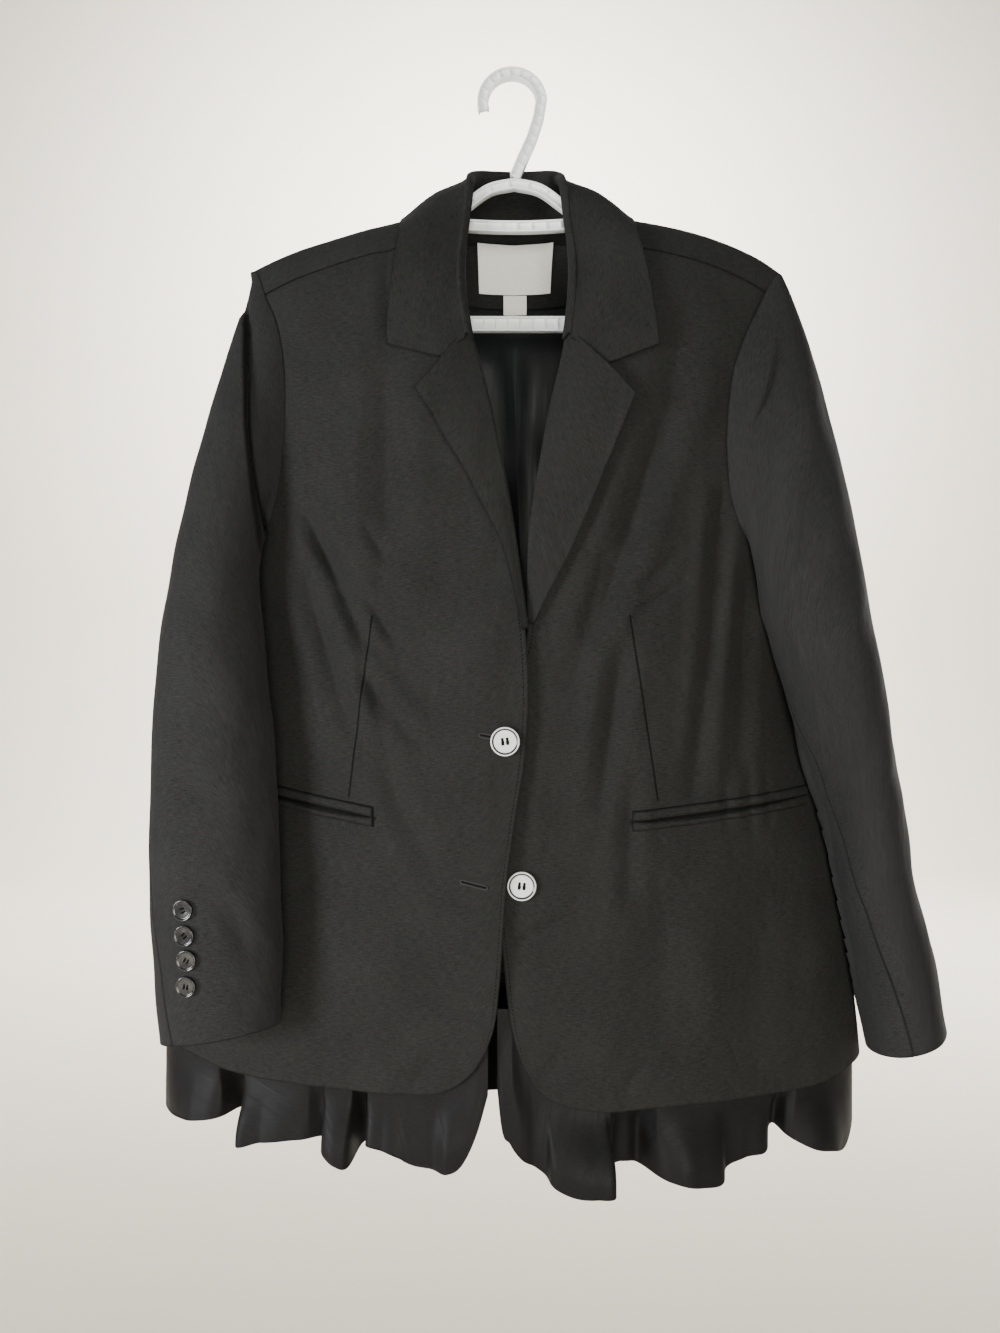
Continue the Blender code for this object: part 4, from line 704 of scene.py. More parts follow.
COLLAR_LIFT, COLLAR_ROLL, COLLAR_SINK = 0.0048, 0.0030, 0.0035
COLLAR_KNOTS = np.array([0.0, 0.17, 0.34, 0.40, 0.46, 0.70, 1.0])
COLLAR_ARCH = (0.0050, 0.0025)
NOTCH_SPAN, GORGE_SPAN = ((0.0, 0.10), (0.90, 1.0)), ((0.0, 0.07), (0.93, 1.0))
NOTCH = {"right": (-0.0580, 0.2460), "left": (0.0707, 0.2510)}


# %% Make the collar
def collar_lines():
    """The collar's neck seam, roll and outer edge, from the right gorge round the back to the left gorge."""
    neck, roll, edge = [], [], []
    count = len(COLLAR["face"])
    for side, sign in SIGN.items():
        for row in range(count - 1, -1, -1) if side == "right" else range(1, count):
            value = {name: column[row] for name, column in COLLAR.items()}
            grown = value["roll_" + side] / max(value["roll_right"], 1e-6) if row else 1.0
            neck.append((sign * value["neck_x"] * grown, value["neck_y"], -value["neck_drop"]))
            roll.append((sign * value["roll_" + side], value["roll_y"], -value["roll_drop"]))
            turn, fall = place(np.array([sign * value["edge_" + side]]), np.array([value["edge_drop"]]))
            edge.append(lifted(lambda u, v: form(u, v, value["face"]), turn, np.maximum(fall, 0.01),
                               SHELL_WALL + COLLAR_LIFT, value["face"])[0])
    return trace(neck, roll), trace(roll), trace(edge, roll)


def collar_surface():
    """The folded band: up the stand, over the roll and down the fall."""
    neck_line, roll_line, edge_line = collar_lines()
    notches = [on_front(side, np.array([x]), np.array([drop]), SHELL_WALL + COLLAR_LIFT)[0]
               for side, (x, drop) in NOTCH.items()]

    def surface(u, v):
        neck, roll, edge = neck_line(u), roll_line(u), edge_line(u)
        away = (edge - neck) * (1, 1, 0)
        away /= np.maximum(np.linalg.norm(away, axis=1, keepdims=True), 1e-9)
        sunk = np.array([0.0, 0.0, -COLLAR_SINK])
        inner = roll - away * COLLAR_ROLL + sunk
        outer = roll + away * COLLAR_ROLL * 0.4 + sunk
        middle = (outer + edge) / 2 + np.array([0.0, 0.0, COLLAR_ARCH[0]]) + away * COLLAR_ARCH[1]
        for notch, near in zip(notches, (1 - step(NOTCH_SPAN[0], u), step(NOTCH_SPAN[1], u))):
            middle = middle + near[:, None] * (notch - middle)
        stations = np.stack([neck, (neck + inner) / 2, inner, roll, outer, middle, edge], axis=1)
        slopes = np.gradient(stations, COLLAR_KNOTS, axis=1)
        low = np.clip(np.searchsorted(COLLAR_KNOTS, v, side="right") - 1, 0, len(COLLAR_KNOTS) - 2)
        span = (COLLAR_KNOTS[low + 1] - COLLAR_KNOTS[low])[:, None]
        part = (v - COLLAR_KNOTS[low])[:, None] / span
        row = np.arange(len(u))
        start = stations[row, low] * (1 + 2 * part) + slopes[row, low] * span * part
        end = stations[row, low + 1] * (3 - 2 * part) - slopes[row, low + 1] * span * (1 - part)
        curved = start * (1 - part) ** 2 + end * part ** 2
        straight = stations[row, low] + (stations[row, low + 1] - stations[row, low]) * part
        cut = np.maximum(1 - step(GORGE_SPAN[0], u), step(GORGE_SPAN[1], u)) * (v > COLLAR_KNOTS[4])
        return curved + cut[:, None] * (straight - curved)
    return surface


stand, fall = COLLAR_KNOTS[[2, 4]]
collar_rows = np.concatenate([np.linspace(0, stand, 10), np.linspace(stand, fall, 15)[1:],
                              np.linspace(fall, 1, 24)[1:]])
cloth("collar", collar_surface(), 161, collar_rows, COLLAR_WALL, INSIDE)

# %% [markdown]
# ## The pockets
# A double-welt pocket is a slit with two narrow folded strips sewn along it. Each strip is slightly rounded.
# The weight of the cloth pulls the slit open, so the lower strip sags most between its ends.

# %% Make the welts
POCKETS = {"right": ((-0.109, 0.597), (-0.226, 0.578)), "left": ((0.090, 0.600), (0.240, 0.587))}
WELT_WALL, WELT_HEIGHT, WELT_SLIT, WELT_PUFF = 0.0012, 0.0066, 0.0008, 0.0007
WELT_GAPE, WELT_SAG, WELT_ROUND, WELT_SINK = {-1.0: 0.0008, 1.0: 0.0034}, (0.7, 1.5), 0.6, 0.0004


def welt_surface(side, ends, over):
    """One welt of a pocket, above or below the slit, lying on its front."""
    def surface(u, v):
        x = ends[0][0] + (ends[1][0] - ends[0][0]) * u
        middle = ends[0][1] + (ends[1][1] - ends[0][1]) * u
        gape = WELT_GAPE[over] * np.sin(math.pi * u ** WELT_SAG[0]) * (1 - v) ** WELT_SAG[1]
        drop = middle + over * (WELT_SLIT / 2 + WELT_HEIGHT * v + gape)
        lift = SHELL_WALL - WELT_SINK + WELT_PUFF * np.sin(math.pi * np.clip(v, 0, 1)) ** WELT_ROUND
        return on_front(side, x, drop, lift)
    return surface


for side, ends in POCKETS.items():
    for name, over in (("upper", -1.0), ("lower", 1.0)):
        cloth(f"{side}_{name}_welt", welt_surface(side, ends, over), 91, 11, WELT_WALL, BEHIND)

# %% [markdown]
# ## The flounce
# A strip of satin, longer than the hem, is gathered inside it and falls in lobes. Each row below is one
# place along the hem: where it is sewn, and where its bottom hangs, how far out and how low.

# %% Folds of the flounce
RIGHT_FLOUNCE = table("sew x out drop",
    (-0.021, -0.021, 0.0, 0.806), (-0.029, -0.029, 0.004, 0.835), (-0.0392, -0.0392, 0.007, 0.8578),
    (-0.0512, -0.0512, 0.01, 0.8651), (-0.064, -0.064, 0.004, 0.864), (-0.0758, -0.0758, 0.007, 0.8615),
    (-0.1002, -0.1002, 0.009, 0.8514), (-0.113, -0.115, 0.004, 0.849), (-0.119, -0.1145, -0.013, 0.85),
    (-0.124, -0.123, -0.012, 0.856), (-0.129, -0.1262, 0.009, 0.865), (-0.136, -0.137, 0.014, 0.864),
    (-0.144, -0.149, 0.008, 0.856), (-0.151, -0.149, -0.005, 0.851), (-0.1671, -0.1671, 0.004, 0.8501),
    (-0.1961, -0.1961, 0.01, 0.8537), (-0.213, -0.2165, 0.01, 0.856), (-0.22, -0.216, -0.011, 0.844),
    (-0.234, -0.23, -0.016, 0.841), (-0.242, -0.2355, 0.001, 0.843), (-0.256, -0.256, 0.01, 0.848),
    (-0.27, -0.272, 0.008, 0.85), (-0.299, -0.299, 0.0, 0.8494))
LEFT_FLOUNCE = table("sew x out drop",
    (-0.0142, -0.0142, 0.0, 0.803), (-0.0119, -0.0119, 0.002, 0.826), (-0.0042, -0.0042, 0.004, 0.845),
    (0.0032, 0.0032, 0.005, 0.8554), (0.015, 0.016, 0.003, 0.864), (0.0213, 0.0225, 0.004, 0.869),
    (0.029, 0.0275, 0.012, 0.874), (0.0391, 0.0391, 0.017, 0.879), (0.056, 0.06, 0.02, 0.8812),
    (0.066, 0.074, 0.018, 0.88), (0.072, 0.0715, 0.004, 0.875), (0.079, 0.0765, -0.01, 0.869),
    (0.09, 0.09, -0.014, 0.868), (0.1042, 0.102, -0.014, 0.872), (0.112, 0.111, 0.002, 0.875),
    (0.123, 0.123, 0.012, 0.878), (0.1413, 0.1413, 0.014, 0.8811), (0.156, 0.159, 0.01, 0.8807),
    (0.165, 0.164, 0.002, 0.874), (0.1796, 0.1796, 0.003, 0.8675), (0.2002, 0.2002, 0.002, 0.8636),
    (0.209, 0.206, -0.008, 0.856), (0.2183, 0.215, -0.014, 0.8519), (0.227, 0.2195, -0.002, 0.858),
    (0.239, 0.236, 0.009, 0.868), (0.252, 0.252, 0.011, 0.873), (0.2689, 0.27, 0.006, 0.8772),
    (0.288, 0.288, 0.0, 0.8634))
BACK_FLOUNCE = table("sew x out drop",
    (-0.299, -0.299, 0.0, 0.8494), (-0.25, -0.25, 0.008, 0.847), (-0.215, -0.215, -0.014, 0.84),
    (-0.17, -0.17, 0.01, 0.848), (-0.125, -0.125, -0.012, 0.842), (-0.075, -0.075, 0.01, 0.849),
    (-0.03, -0.03, -0.012, 0.844), (0.02, 0.02, 0.009, 0.85), (0.065, 0.065, -0.013, 0.845),
    (0.115, 0.115, 0.01, 0.852), (0.16, 0.16, -0.012, 0.847), (0.205, 0.205, 0.01, 0.856),
    (0.24, 0.24, -0.012, 0.859), (0.288, 0.288, 0.0, 0.8634))
FLOUNCE_WALL, FLOUNCE_TUCK, FLOUNCE_INSET, FLOUNCE_SIDE_INSET = 0.0009, 0.014, 0.0013, 0.0030
FLOUNCE_TURN, FLOUNCE_EASE, FREE_OUT, FREE_IN = 0.955, (0.0, 0.055), (0.012, 0.065), (0.0, 0.030)
BACK_HEM_X = np.array([-0.284, -0.19, 0.19, 0.279])


# %% Make the flounces
def flounce_surface(rows, hem_drop, side):
    """A flounce sewn inside the hem of a side's front or of the back, falling in uneven folds."""
    rise = 1.0 if rows["sew"][-1] > rows["sew"][0] else -1.0
    face = 1.0 if side == "back" else -1.0

    def base(turn, fall):
        return form(turn, fall, 1.0) if side == "back" else lap(side, form(turn, fall, -1.0))

    def surface(u, v):
        sew = rows["sew"][0] + (rows["sew"][-1] - rows["sew"][0]) * u
        x, out, bottom = (smooth(rows["sew"] * rise, rows[name], sew * rise) for name in ("x", "out", "drop"))
        hem = hem_drop(sew)
        top = np.minimum(hem, bottom) - FLOUNCE_TUCK
        drop = top + (bottom - top) * v
        below = drop - top
        x = sew + (x - sew) * step(FLOUNCE_EASE, below)
        turn, fall = place(x, hem)
        turn = np.clip(turn, -FLOUNCE_TURN, FLOUNCE_TURN)
        free = np.where(out > 0, step(FREE_OUT, below), step(FREE_IN, below))
        inset = FLOUNCE_INSET + FLOUNCE_SIDE_INSET * np.sin(turn * math.pi / 2) ** 6
        spot = lifted(base, turn, fall, out * free - inset, face)
        spot[:, 2] = -drop
        return spot
    return surface


def hem_reader(edge, hem):
    """The drop of a front's bottom edge at any x, round its corner too."""
    x = np.concatenate([edge["x"][-3:-1], hem["x"]])
    drop = np.concatenate([edge["drop"][-3:-1], hem["drop"]])
    rise = 1.0 if x[-1] > x[0] else -1.0
    return lambda at: smooth(x * rise, drop, at * rise)


def back_hem(x):
    """The drop of the back's hem."""
    ends = np.array([RIGHT_HEM["drop"][-1], BACK_HEM_DROP, BACK_HEM_DROP, LEFT_HEM["drop"][-1]])
    return smooth(BACK_HEM_X, ends, x)


for name, rows, hem, side in (("right_flounce", RIGHT_FLOUNCE, hem_reader(RIGHT_EDGE, RIGHT_HEM), "right"),
                              ("left_flounce", LEFT_FLOUNCE, hem_reader(LEFT_EDGE, LEFT_HEM), "left"),
                              ("back_flounce", BACK_FLOUNCE, back_hem, "back")):
    made = cloth(name, flounce_surface(rows, hem, side), 301, 29, FLOUNCE_WALL, INSIDE, -1.0)
    # Each flounce marks its inner face, the side towards the body, for a painted shade in the satin.
    inward = -1.0 if side == "back" else 1.0
    mark(made.data, "inside", [max(inward * vertex.normal.y, 0.0) for vertex in made.data.vertices])

# %% [markdown]
# ## Inside the neck
# The neck opening shows the back neck facing, the satin lining with a pleat at its centre, a label and a
# small tab. Both labels are left bare.

# %% Make the facing, lining and labels
LINING_WALL = 0.0010
FACING_U, FACING_FALL, FACING_DIP = (0.30, 0.70), (0.170, 0.440), 1.60
LINING_FALL, LINING_U, PLEAT_LAP = (0.446, 1.885), 0.35, 0.045
LIE_GAP, LINING_GAP = 0.0006, 0.0009
FACING_DEPTH = 0.0036
LINING_BULGE, LINING_LEAN = {"right": 0.0066, "left": 0.0020}, 0.35
BULGE_RISES, BULGE_FALLS, BULGE_BELOW = (0.06, 0.36), (0.40, 0.62), (0.02, 0.10)
LINING_WAVE, WAVE_ACROSS, WAVE_DOWN, WAVE_OUT, WAVE_BELOW = 0.0020, 11, 6, (0.10, 0.40), (0.0, 0.15)
LABELS = {"neck_label": (0.003, 0.124, (0.187, 0.397), 0.0058),
          "size_tab": (0.004, 0.039, (0.400, 0.459), 0.0068)}


def inside_back(share, fall, depth):
    """Points that lie inside the back by a depth."""
    return lifted(on_back, share, fall, -depth, 1.0)


def facing_surface(u, v):
    """The back neck facing, on the back's own columns."""
    share = back_share(FACING_U[0] + (FACING_U[1] - FACING_U[0]) * u)
    top = FACING_FALL[0] + FACING_DIP * share ** 2
    return inside_back(share, top + (FACING_FALL[1] - top) * v, FACING_DEPTH)


def lining_surface(side):
    """Half of the back lining. The left half laps over the right one in a pleat."""
    depth = LINING_GAP + LINING_WALL + (LIE_GAP + LINING_WALL if side == "left" else 0.0)

    def surface(u, v):
        share = back_share(0.5 + SIGN[side] * LINING_U * u)
        share = share + (0.0 if side == "left" else PLEAT_LAP) * (1 - u) ** 6
        lean = u + LINING_LEAN * v
        bulge = LINING_BULGE[side] * step(BULGE_RISES, lean) * (1 - step(BULGE_FALLS, lean)) * step(BULGE_BELOW, v)
        waves = LINING_WAVE * (1 + np.sin(WAVE_ACROSS * u + WAVE_DOWN * v)) * step(WAVE_OUT, u) * step(WAVE_BELOW, v)
        fall = LINING_FALL[0] + (LINING_FALL[1] - LINING_FALL[0]) * v
        return inside_back(share, fall, depth + (bulge + waves))
    return surface


def label_surface(middle, reach, falls, depth):
    """A small flat label on the inside of the back."""
    def surface(u, v):
        return inside_back(middle + (2 * u - 1) * reach, falls[0] + (falls[1] - falls[0]) * v,
                           np.full_like(u, depth))
    return surface


cloth("back_neck_facing", facing_surface, 61, 31, LINING_WALL, BEHIND, -1.0)
for side in SIGN:
    cloth(side + "_lining", lining_surface(side), 71, 91, LINING_WALL, BEHIND, -1.0)
for name, sizes in LABELS.items():
    cloth(name, label_surface(*sizes), 25, 17, LINING_WALL, BEHIND, -1.0)

# %% [markdown]
# ## The buttons
# A front button is turned from a pale disc with a raised rim and four sewing holes. It is modelled once, from
# a cylinder: the face is inset and sunk, the edges are bevelled, and four small cylinders are cut through it.
# Each of its points remembers its distance from the middle, so that the finish can draw a ring inside the rim.
# Copies, each with its own mesh, are then seated on the cloth; the cuff buttons are smaller, dark ones.

# %% Helpers for edit mode
PARTS = {"VERT": "vertices", "EDGE": "edges", "FACE": "polygons"}


def pick(made, kind, test):
    """Select the points, edges or faces of an object that pass a test, and go to edit mode."""
    bpy.ops.object.mode_set(mode="EDIT")
    bpy.ops.mesh.select_mode(type=kind)
    bpy.ops.mesh.select_all(action="DESELECT")
    bpy.ops.object.mode_set(mode="OBJECT")
    for part in getattr(made.data, PARTS[kind]):
        part.select = test(part)
    bpy.ops.object.mode_set(mode="EDIT")


def dish(made, way, steps):
    """Inset the face of a disc that looks up, way 1, or down, -1, and move it up by each step's second size."""
    pick(made, "FACE", lambda face: face.normal.z * way > 0.9)
    for width, move in steps:
        bpy.ops.mesh.inset(thickness=width)
        bpy.ops.transform.translate(value=(0, 0, move))
    bpy.ops.object.mode_set(mode="OBJECT")


def join(pieces):
    """Join some objects into the first one."""
    only(pieces[0])
    for piece in pieces:
        piece.select_set(True)
    bpy.ops.object.join()
    return pieces[0]


# %% Model one button
BUTTON_RADIUS, BUTTON_DEPTH, BUTTON_SOFT, BUTTON_CREASE = 0.0110, 0.0034, (0.0006, 3, 40), 35
BUTTON_FACE = ((0.0014, 0.0), (0.0008, -0.0008), (0.0012, 0.0), (0.0042, -0.0003))
BUTTON_BACK = ((0.0030, 0.0002),)
HOLE_REACH, HOLE_RADIUS, DRILL_DEPTH, DRILL_AT = 0.0026, 0.0011, 0.01, 0.002


def model_button():
    """A four-hole button at the origin, its face up."""
    bpy.ops.mesh.primitive_cylinder_add(vertices=64, radius=BUTTON_RADIUS, depth=BUTTON_DEPTH,
                                        location=(0, 0, BUTTON_DEPTH / 2))
    made = bpy.context.object
    only(made)
    bpy.ops.object.transform_apply(location=True)
    dish(made, 1, BUTTON_FACE)
    dish(made, -1, BUTTON_BACK)
    soften(made, *BUTTON_SOFT)
    for corner in range(4):
        angle = math.pi / 4 + corner * math.pi / 2
        spot = (HOLE_REACH * math.cos(angle), HOLE_REACH * math.sin(angle), DRILL_AT)
        bpy.ops.mesh.primitive_cylinder_add(vertices=20, radius=HOLE_RADIUS, depth=DRILL_DEPTH, location=spot)
        drill = bpy.context.object
        only(made)
        hole = made.modifiers.new("hole", "BOOLEAN")
        hole.object, hole.operation, hole.solver = drill, "DIFFERENCE", "EXACT"
        bpy.ops.object.modifier_apply(modifier="hole")
        bpy.data.objects.remove(drill)
    bpy.ops.object.shade_smooth_by_angle(angle=math.radians(BUTTON_CREASE))
    mark(made.data, "radius", [vertex.co.xy.length for vertex in made.data.vertices])
    return made


BUTTON = model_button()
print("button:", len(BUTTON.data.polygons), "faces")

# %% [markdown]
# The thread that sews a button on crosses its face between the holes. Each strand is a short bar, bent in two
# places and sunk into the holes at its ends.

# %% Model the thread
THREAD_RADIUS, THREAD_BEND, THREAD_SINK, THREAD_BELOW = 0.0012, 0.0009, 0.0010, 0.0007


def model_thread():
    """Two strands of thread across the button's four holes."""
    strands = []
    for side in (-1, 1):
        bpy.ops.mesh.primitive_cylinder_add(vertices=10, radius=THREAD_RADIUS, depth=2 * HOLE_REACH,
                                            rotation=(0, math.pi / 2, 0))
        strand = bpy.context.object
        only(strand)
        bpy.ops.object.transform_apply(rotation=True)
        bpy.ops.object.mode_set(mode="EDIT")
        for bend in (-THREAD_BEND, THREAD_BEND):
            bpy.ops.mesh.select_all(action="SELECT")
            bpy.ops.mesh.bisect(plane_co=(bend, 0, 0), plane_no=(1, 0, 0))
        pick(strand, "VERT", lambda vertex: not -1.1 < vertex.co.x / THREAD_BEND < 0.9)
        bpy.ops.transform.translate(value=(0, 0, -THREAD_SINK))
        bpy.ops.mesh.select_all(action="SELECT")
        bpy.ops.transform.translate(value=(0, side * HOLE_REACH * 0.7071, BUTTON_DEPTH - THREAD_BELOW))
        bpy.ops.object.mode_set(mode="OBJECT")
        bpy.ops.object.shade_smooth()
        strands.append(strand)
    return join(strands)


THREAD = model_thread()

# %% [markdown]
# A button is seated with its back on the cloth and its axis along the cloth's normal. The nearest point of
# the finished panel gives both, so that the button follows the panel's folds.

# %% Seat the buttons
CUFF_SCALE, CUFF_TURN, BUTTON_GAP, ABOVE = 0.71, 20, 0.0004, 0.006
FRONT_BUTTONS = {"top_button": ("right", -0.0082, 0.538, 96), "lower_button": ("left", 0.0046, 0.648, 84)}
RIGHT_CUFF_BUTTONS = ((-0.2472, 0.6617), (-0.2460, 0.6801), (-0.2442, 0.6981), (-0.2447, 0.7173))
LEFT_CUFF_ROUND = 0.76
PALE, DARK, THREADS = [], [], []


def seat(owner, spot):
    """The nearest point of a piece's face to a spot, and the face's normal."""
    _, nearest, normal, _ = SHEETS[owner].closest_point_on_mesh(Vector(spot))
    return nearest, normal


def sew_button(name, owner, spot, scale, turn):
    """Copy the button and its thread onto a piece of cloth."""
    nearest, normal = seat(owner, spot)
    stand = normal.to_track_quat("Z", "Y").to_matrix().to_4x4()
    move = (Matrix.Translation(nearest + normal * BUTTON_GAP) @ stand
            @ Matrix.Rotation(math.radians(turn), 4, "Z") @ Matrix.Scale(scale, 4))
    pieces = []
    for model, ending in ((BUTTON, "_turned"), (THREAD, "_thread")):
        pieces.append(new_object(name + ending, model.data.copy()))
        pieces[-1].data.name = name + ending
        pieces[-1].data.transform(move)
    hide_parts(name)
    THREADS.append(pieces[1])
    return pieces[0]


for name, (side, x, drop, turn) in FRONT_BUTTONS.items():
    spot = on_front(side, np.array([x]), np.array([drop]), ABOVE)[0]
    PALE.append(sew_button(name, side + "_front", spot, 1.0, turn))
cuff_rows = SLEEVE_ROWS["right"]
low, high = cuff_rows["drop"][[0, -1]]
for number, (x, drop) in enumerate(RIGHT_CUFF_BUTTONS, 1):
    level = np.array([CAP_SHARE + (1 - CAP_SHARE) * (drop - low) / (high - low)])
    centre, half = (smooth(cuff_rows["drop"], cuff_rows[key], np.array([drop])) for key in ("x", "half_width"))
    rounds = {"right": np.arccos((centre - x) / half) / (2 * math.pi), "left": np.array([LEFT_CUFF_ROUND])}
    for side, sign in SIGN.items():
        spot = lifted(SLEEVES[side], rounds[side], level, ABOVE, sign)[0]
        name = f"{side}_cuff_button_{number}"
        DARK.append(sew_button(name, side + "_top_sleeve", spot, CUFF_SCALE, CUFF_TURN * number))
for model in (BUTTON, THREAD):
    bpy.data.objects.remove(model)
print("buttons:", len(PALE), "pale,", len(DARK), "dark")

# %% [markdown]
# ## The buttonholes
# Each front buttonhole is a slit bound with close thread. The binding is a ring stretched along the slit,
# made from a torus that is pulled out in edit mode and laid on the cloth.

# %% Make the buttonholes
BUTTONHOLES = {"top_buttonhole": ("right", (-0.0270, 0.5330), (-0.0150, 0.5355)),
               "lower_buttonhole": ("right", (-0.0415, 0.6440), (-0.0215, 0.6485))}
HOLE_HALF, HOLE_THREAD, HOLE_LIFT = 0.0015, 0.0006, 0.0001
HOLES = []
for name, (side, start, end) in BUTTONHOLES.items():
    ends = on_front(side, *np.array([start, end]).T, ABOVE)
    bpy.ops.mesh.primitive_torus_add(major_segments=40, minor_segments=8, major_radius=HOLE_HALF,
                                     minor_radius=HOLE_THREAD)
    made = bpy.context.object
    only(made)
    made.name = made.data.name = name
    reach = np.linalg.norm(ends[1] - ends[0])
    for way in (-1, 1):
        pick(made, "FACE", lambda face: face.center.x * way > 0.0002)
        bpy.ops.transform.translate(value=(way * (reach / 2 - HOLE_HALF), 0, 0))
        bpy.ops.object.mode_set(mode="OBJECT")
    nearest, normal = seat(side + "_front", ends.mean(axis=0))
    along = Vector(ends[1] - ends[0]).normalized()
    across = normal.cross(along).normalized()
    turn = Matrix((along, across, along.cross(across))).transposed().to_4x4()
    made.data.transform(Matrix.Translation(nearest + normal * HOLE_LIFT) @ turn)
    bpy.ops.object.shade_smooth()
    HOLES.append(made)
print("buttonholes:", [hole.name for hole in HOLES])

# %% [markdown]
# ## The hanger
# The hanger is moulded: its hook and bars have a thin web between two raised rims, stiffened by cross ribs.
# A profile of that section is swept along each bar's line, turned to a mesh, and the ribs are added as small
# bevelled blocks across the web.

# %% Sweep a moulded bar
HANGER_DEPTH, RIM, WEB, RIM_SOFT, RIM_CREASE = 0.008, 0.0016, 0.0028, (0.0005, 2, 50), 40
HANGER = []


def line_curve(name, points, dimensions, closed=False):
    """A curve object of straight steps through points of a plane."""
    curve = bpy.data.curves.new(name, "CURVE")
    curve.dimensions = dimensions
    line = curve.splines.new("POLY")
    line.points.add(len(points) - 1)
    for point, (x, y) in zip(line.points, points):
        point.co = (x, y, 0.0, 1.0)
    line.use_cyclic_u = closed
    return new_object(name, curve)


def section(name, half):
    """The H section of a moulded bar, as a closed curve."""
    deep, web, inner = HANGER_DEPTH / 2, WEB / 2, half - RIM
    upper = [(half, deep), (inner, deep), (inner, web), (-inner, web), (-inner, deep), (-half, deep)]
    return line_curve(name, upper + [(-x, -y) for x, y in upper], "2D", True)


def moulded(node, path, half):
    """A bar swept along a path of x and z, standing for a CAD node."""
    profile = section(node + "_section", half)
    made = line_curve(node + "_moulded", path, "3D")
    made.data.twist_mode = "Z_UP"
    made.data.bevel_mode, made.data.bevel_object, made.data.use_fill_caps = "OBJECT", profile, True
    bpy.ops.object.convert(target="MESH")
    bpy.data.objects.remove(profile)
    made.data.transform(Matrix.Rotation(math.pi / 2, 4, "X"))
    bpy.ops.object.mode_set(mode="EDIT")
    bpy.ops.mesh.select_all(action="SELECT")
    bpy.ops.mesh.remove_doubles(threshold=0.00001)
    bpy.ops.mesh.normals_make_consistent(inside=False)
    bpy.ops.object.mode_set(mode="OBJECT")
    soften(made, *RIM_SOFT)
    bpy.ops.object.shade_smooth_by_angle(angle=math.radians(RIM_CREASE))
    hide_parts(node)
    HANGER.append(made)


RIB_WIDTH, RIB_SHORT, RIB_SOFT, RIB_NEXT = 0.0013, 0.0016, 0.0002, 0.001


def ribs(name, path, half, spacing):
    """Cross ribs along a bar, each a small bevelled block, joined into one piece."""
    path = np.asarray(path, float)
    reach = np.concatenate([[0.0], np.cumsum(np.linalg.norm(np.diff(path, axis=0), axis=1))])
    blocks = []
    for at in np.arange(spacing, reach[-1] - spacing / 2, spacing):
        x, z = (np.interp(at, reach, column) for column in path.T)
        nx, nz = (np.interp(at + RIB_NEXT, reach, column) for column in path.T)
        bpy.ops.mesh.primitive_cube_add(size=1.0)
        block = bpy.context.object
        only(block)
        bpy.ops.object.mode_set(mode="EDIT")
        bpy.ops.transform.resize(value=(RIB_WIDTH, HANGER_DEPTH - RIB_SHORT, 2 * half - RIM))
        bpy.ops.mesh.bevel(offset=RIB_SOFT, segments=1)
        bpy.ops.object.mode_set(mode="OBJECT")
        turn = Matrix.Rotation(-math.atan2(nz - z, nx - x), 4, "Y")
        block.data.transform(Matrix.Translation((x, 0, z)) @ turn)
        blocks.append(block)
    HANGER.append(join(blocks))
    HANGER[-1].name = HANGER[-1].data.name = name
    print(name, len(blocks), "ribs")


# %% Make the hanger
HOOK_CENTRE, HOOK_RADIUS, HOOK_ARC = (-0.002, -0.0200), 0.0240, (196.0, 4.0)
HOOK_STEM = ((0.0195, -0.0330), (0.0139, -0.0500), (0.0070, -0.0655), (0.0003, -0.0811))
ARM = ((0.000, -0.0868), (0.020, -0.0912), (0.038, -0.1035), (0.060, -0.1200), (0.090, -0.1305),
       (0.120, -0.1350), (0.150, -0.1432), (0.178, -0.1532), (0.192, -0.1622), (0.199, -0.1750), (0.200, -0.1950))
angles = np.radians(np.linspace(*HOOK_ARC, 48))
ring = HOOK_CENTRE + HOOK_RADIUS * np.stack([np.cos(angles), np.sin(angles)], axis=-1)
hook = np.concatenate([ring, trace(HOOK_STEM)(np.linspace(0, 1, 20))])
arm = trace(ARM)(np.linspace(0, 1, 60))
arms = np.concatenate([arm[::-1] * (-1, 1), arm[1:]])
NECK_HALF, NECK_AT, NECK_SAG, BOTTOM_HALF, BOTTOM_AT = 0.0460, -0.1200, 0.0020, 0.205, -0.2015
bar_x = np.linspace(-1, 1, 25)
neck_bar = np.stack([bar_x * NECK_HALF, NECK_AT - NECK_SAG * (1 - bar_x ** 2)], axis=-1)
bottom_bar = np.stack([np.linspace(-BOTTOM_HALF, BOTTOM_HALF, 41), np.full(41, BOTTOM_AT)], axis=-1)
BARS = {"hanger_hook": (hook, 0.0045, 0.0085), "hanger_arms": (arms, 0.0042, 0.016),
        "hanger_neck_bar": (neck_bar, 0.0045, 0.012), "hanger_bottom_bar": (bottom_bar, 0.0060, 0.010)}
for node, (path, half, spacing) in BARS.items():
    moulded(node, path, half)
    ribs(node + "_ribs", path, half, spacing)

# %% [markdown]
# ## Materials
# Each surface is built from procedural nodes. The cloth's weave, its uneven dye and its stitches read the cut
# map, which is in metres, so that they follow the cloth; seams that run down a panel read the place itself.


# %% Node helpers
def add(tree, kind, inputs=None, **settings):
    """Add a shader node; an input may be a value or another node's output."""
    made = tree.nodes.new("ShaderNode" + kind)
    for key, value in settings.items():
        setattr(made, key, value)
    for key, value in (inputs or {}).items():
        if isinstance(value, bpy.types.NodeSocket):
            tree.links.new(value, made.inputs[key])
        else:
            made.inputs[key].default_value = value
    return made


def math_node(tree, operation, *values):
    """A math node on values or outputs."""
    return add(tree, "Math", dict(enumerate(values)), operation=operation).outputs[0]


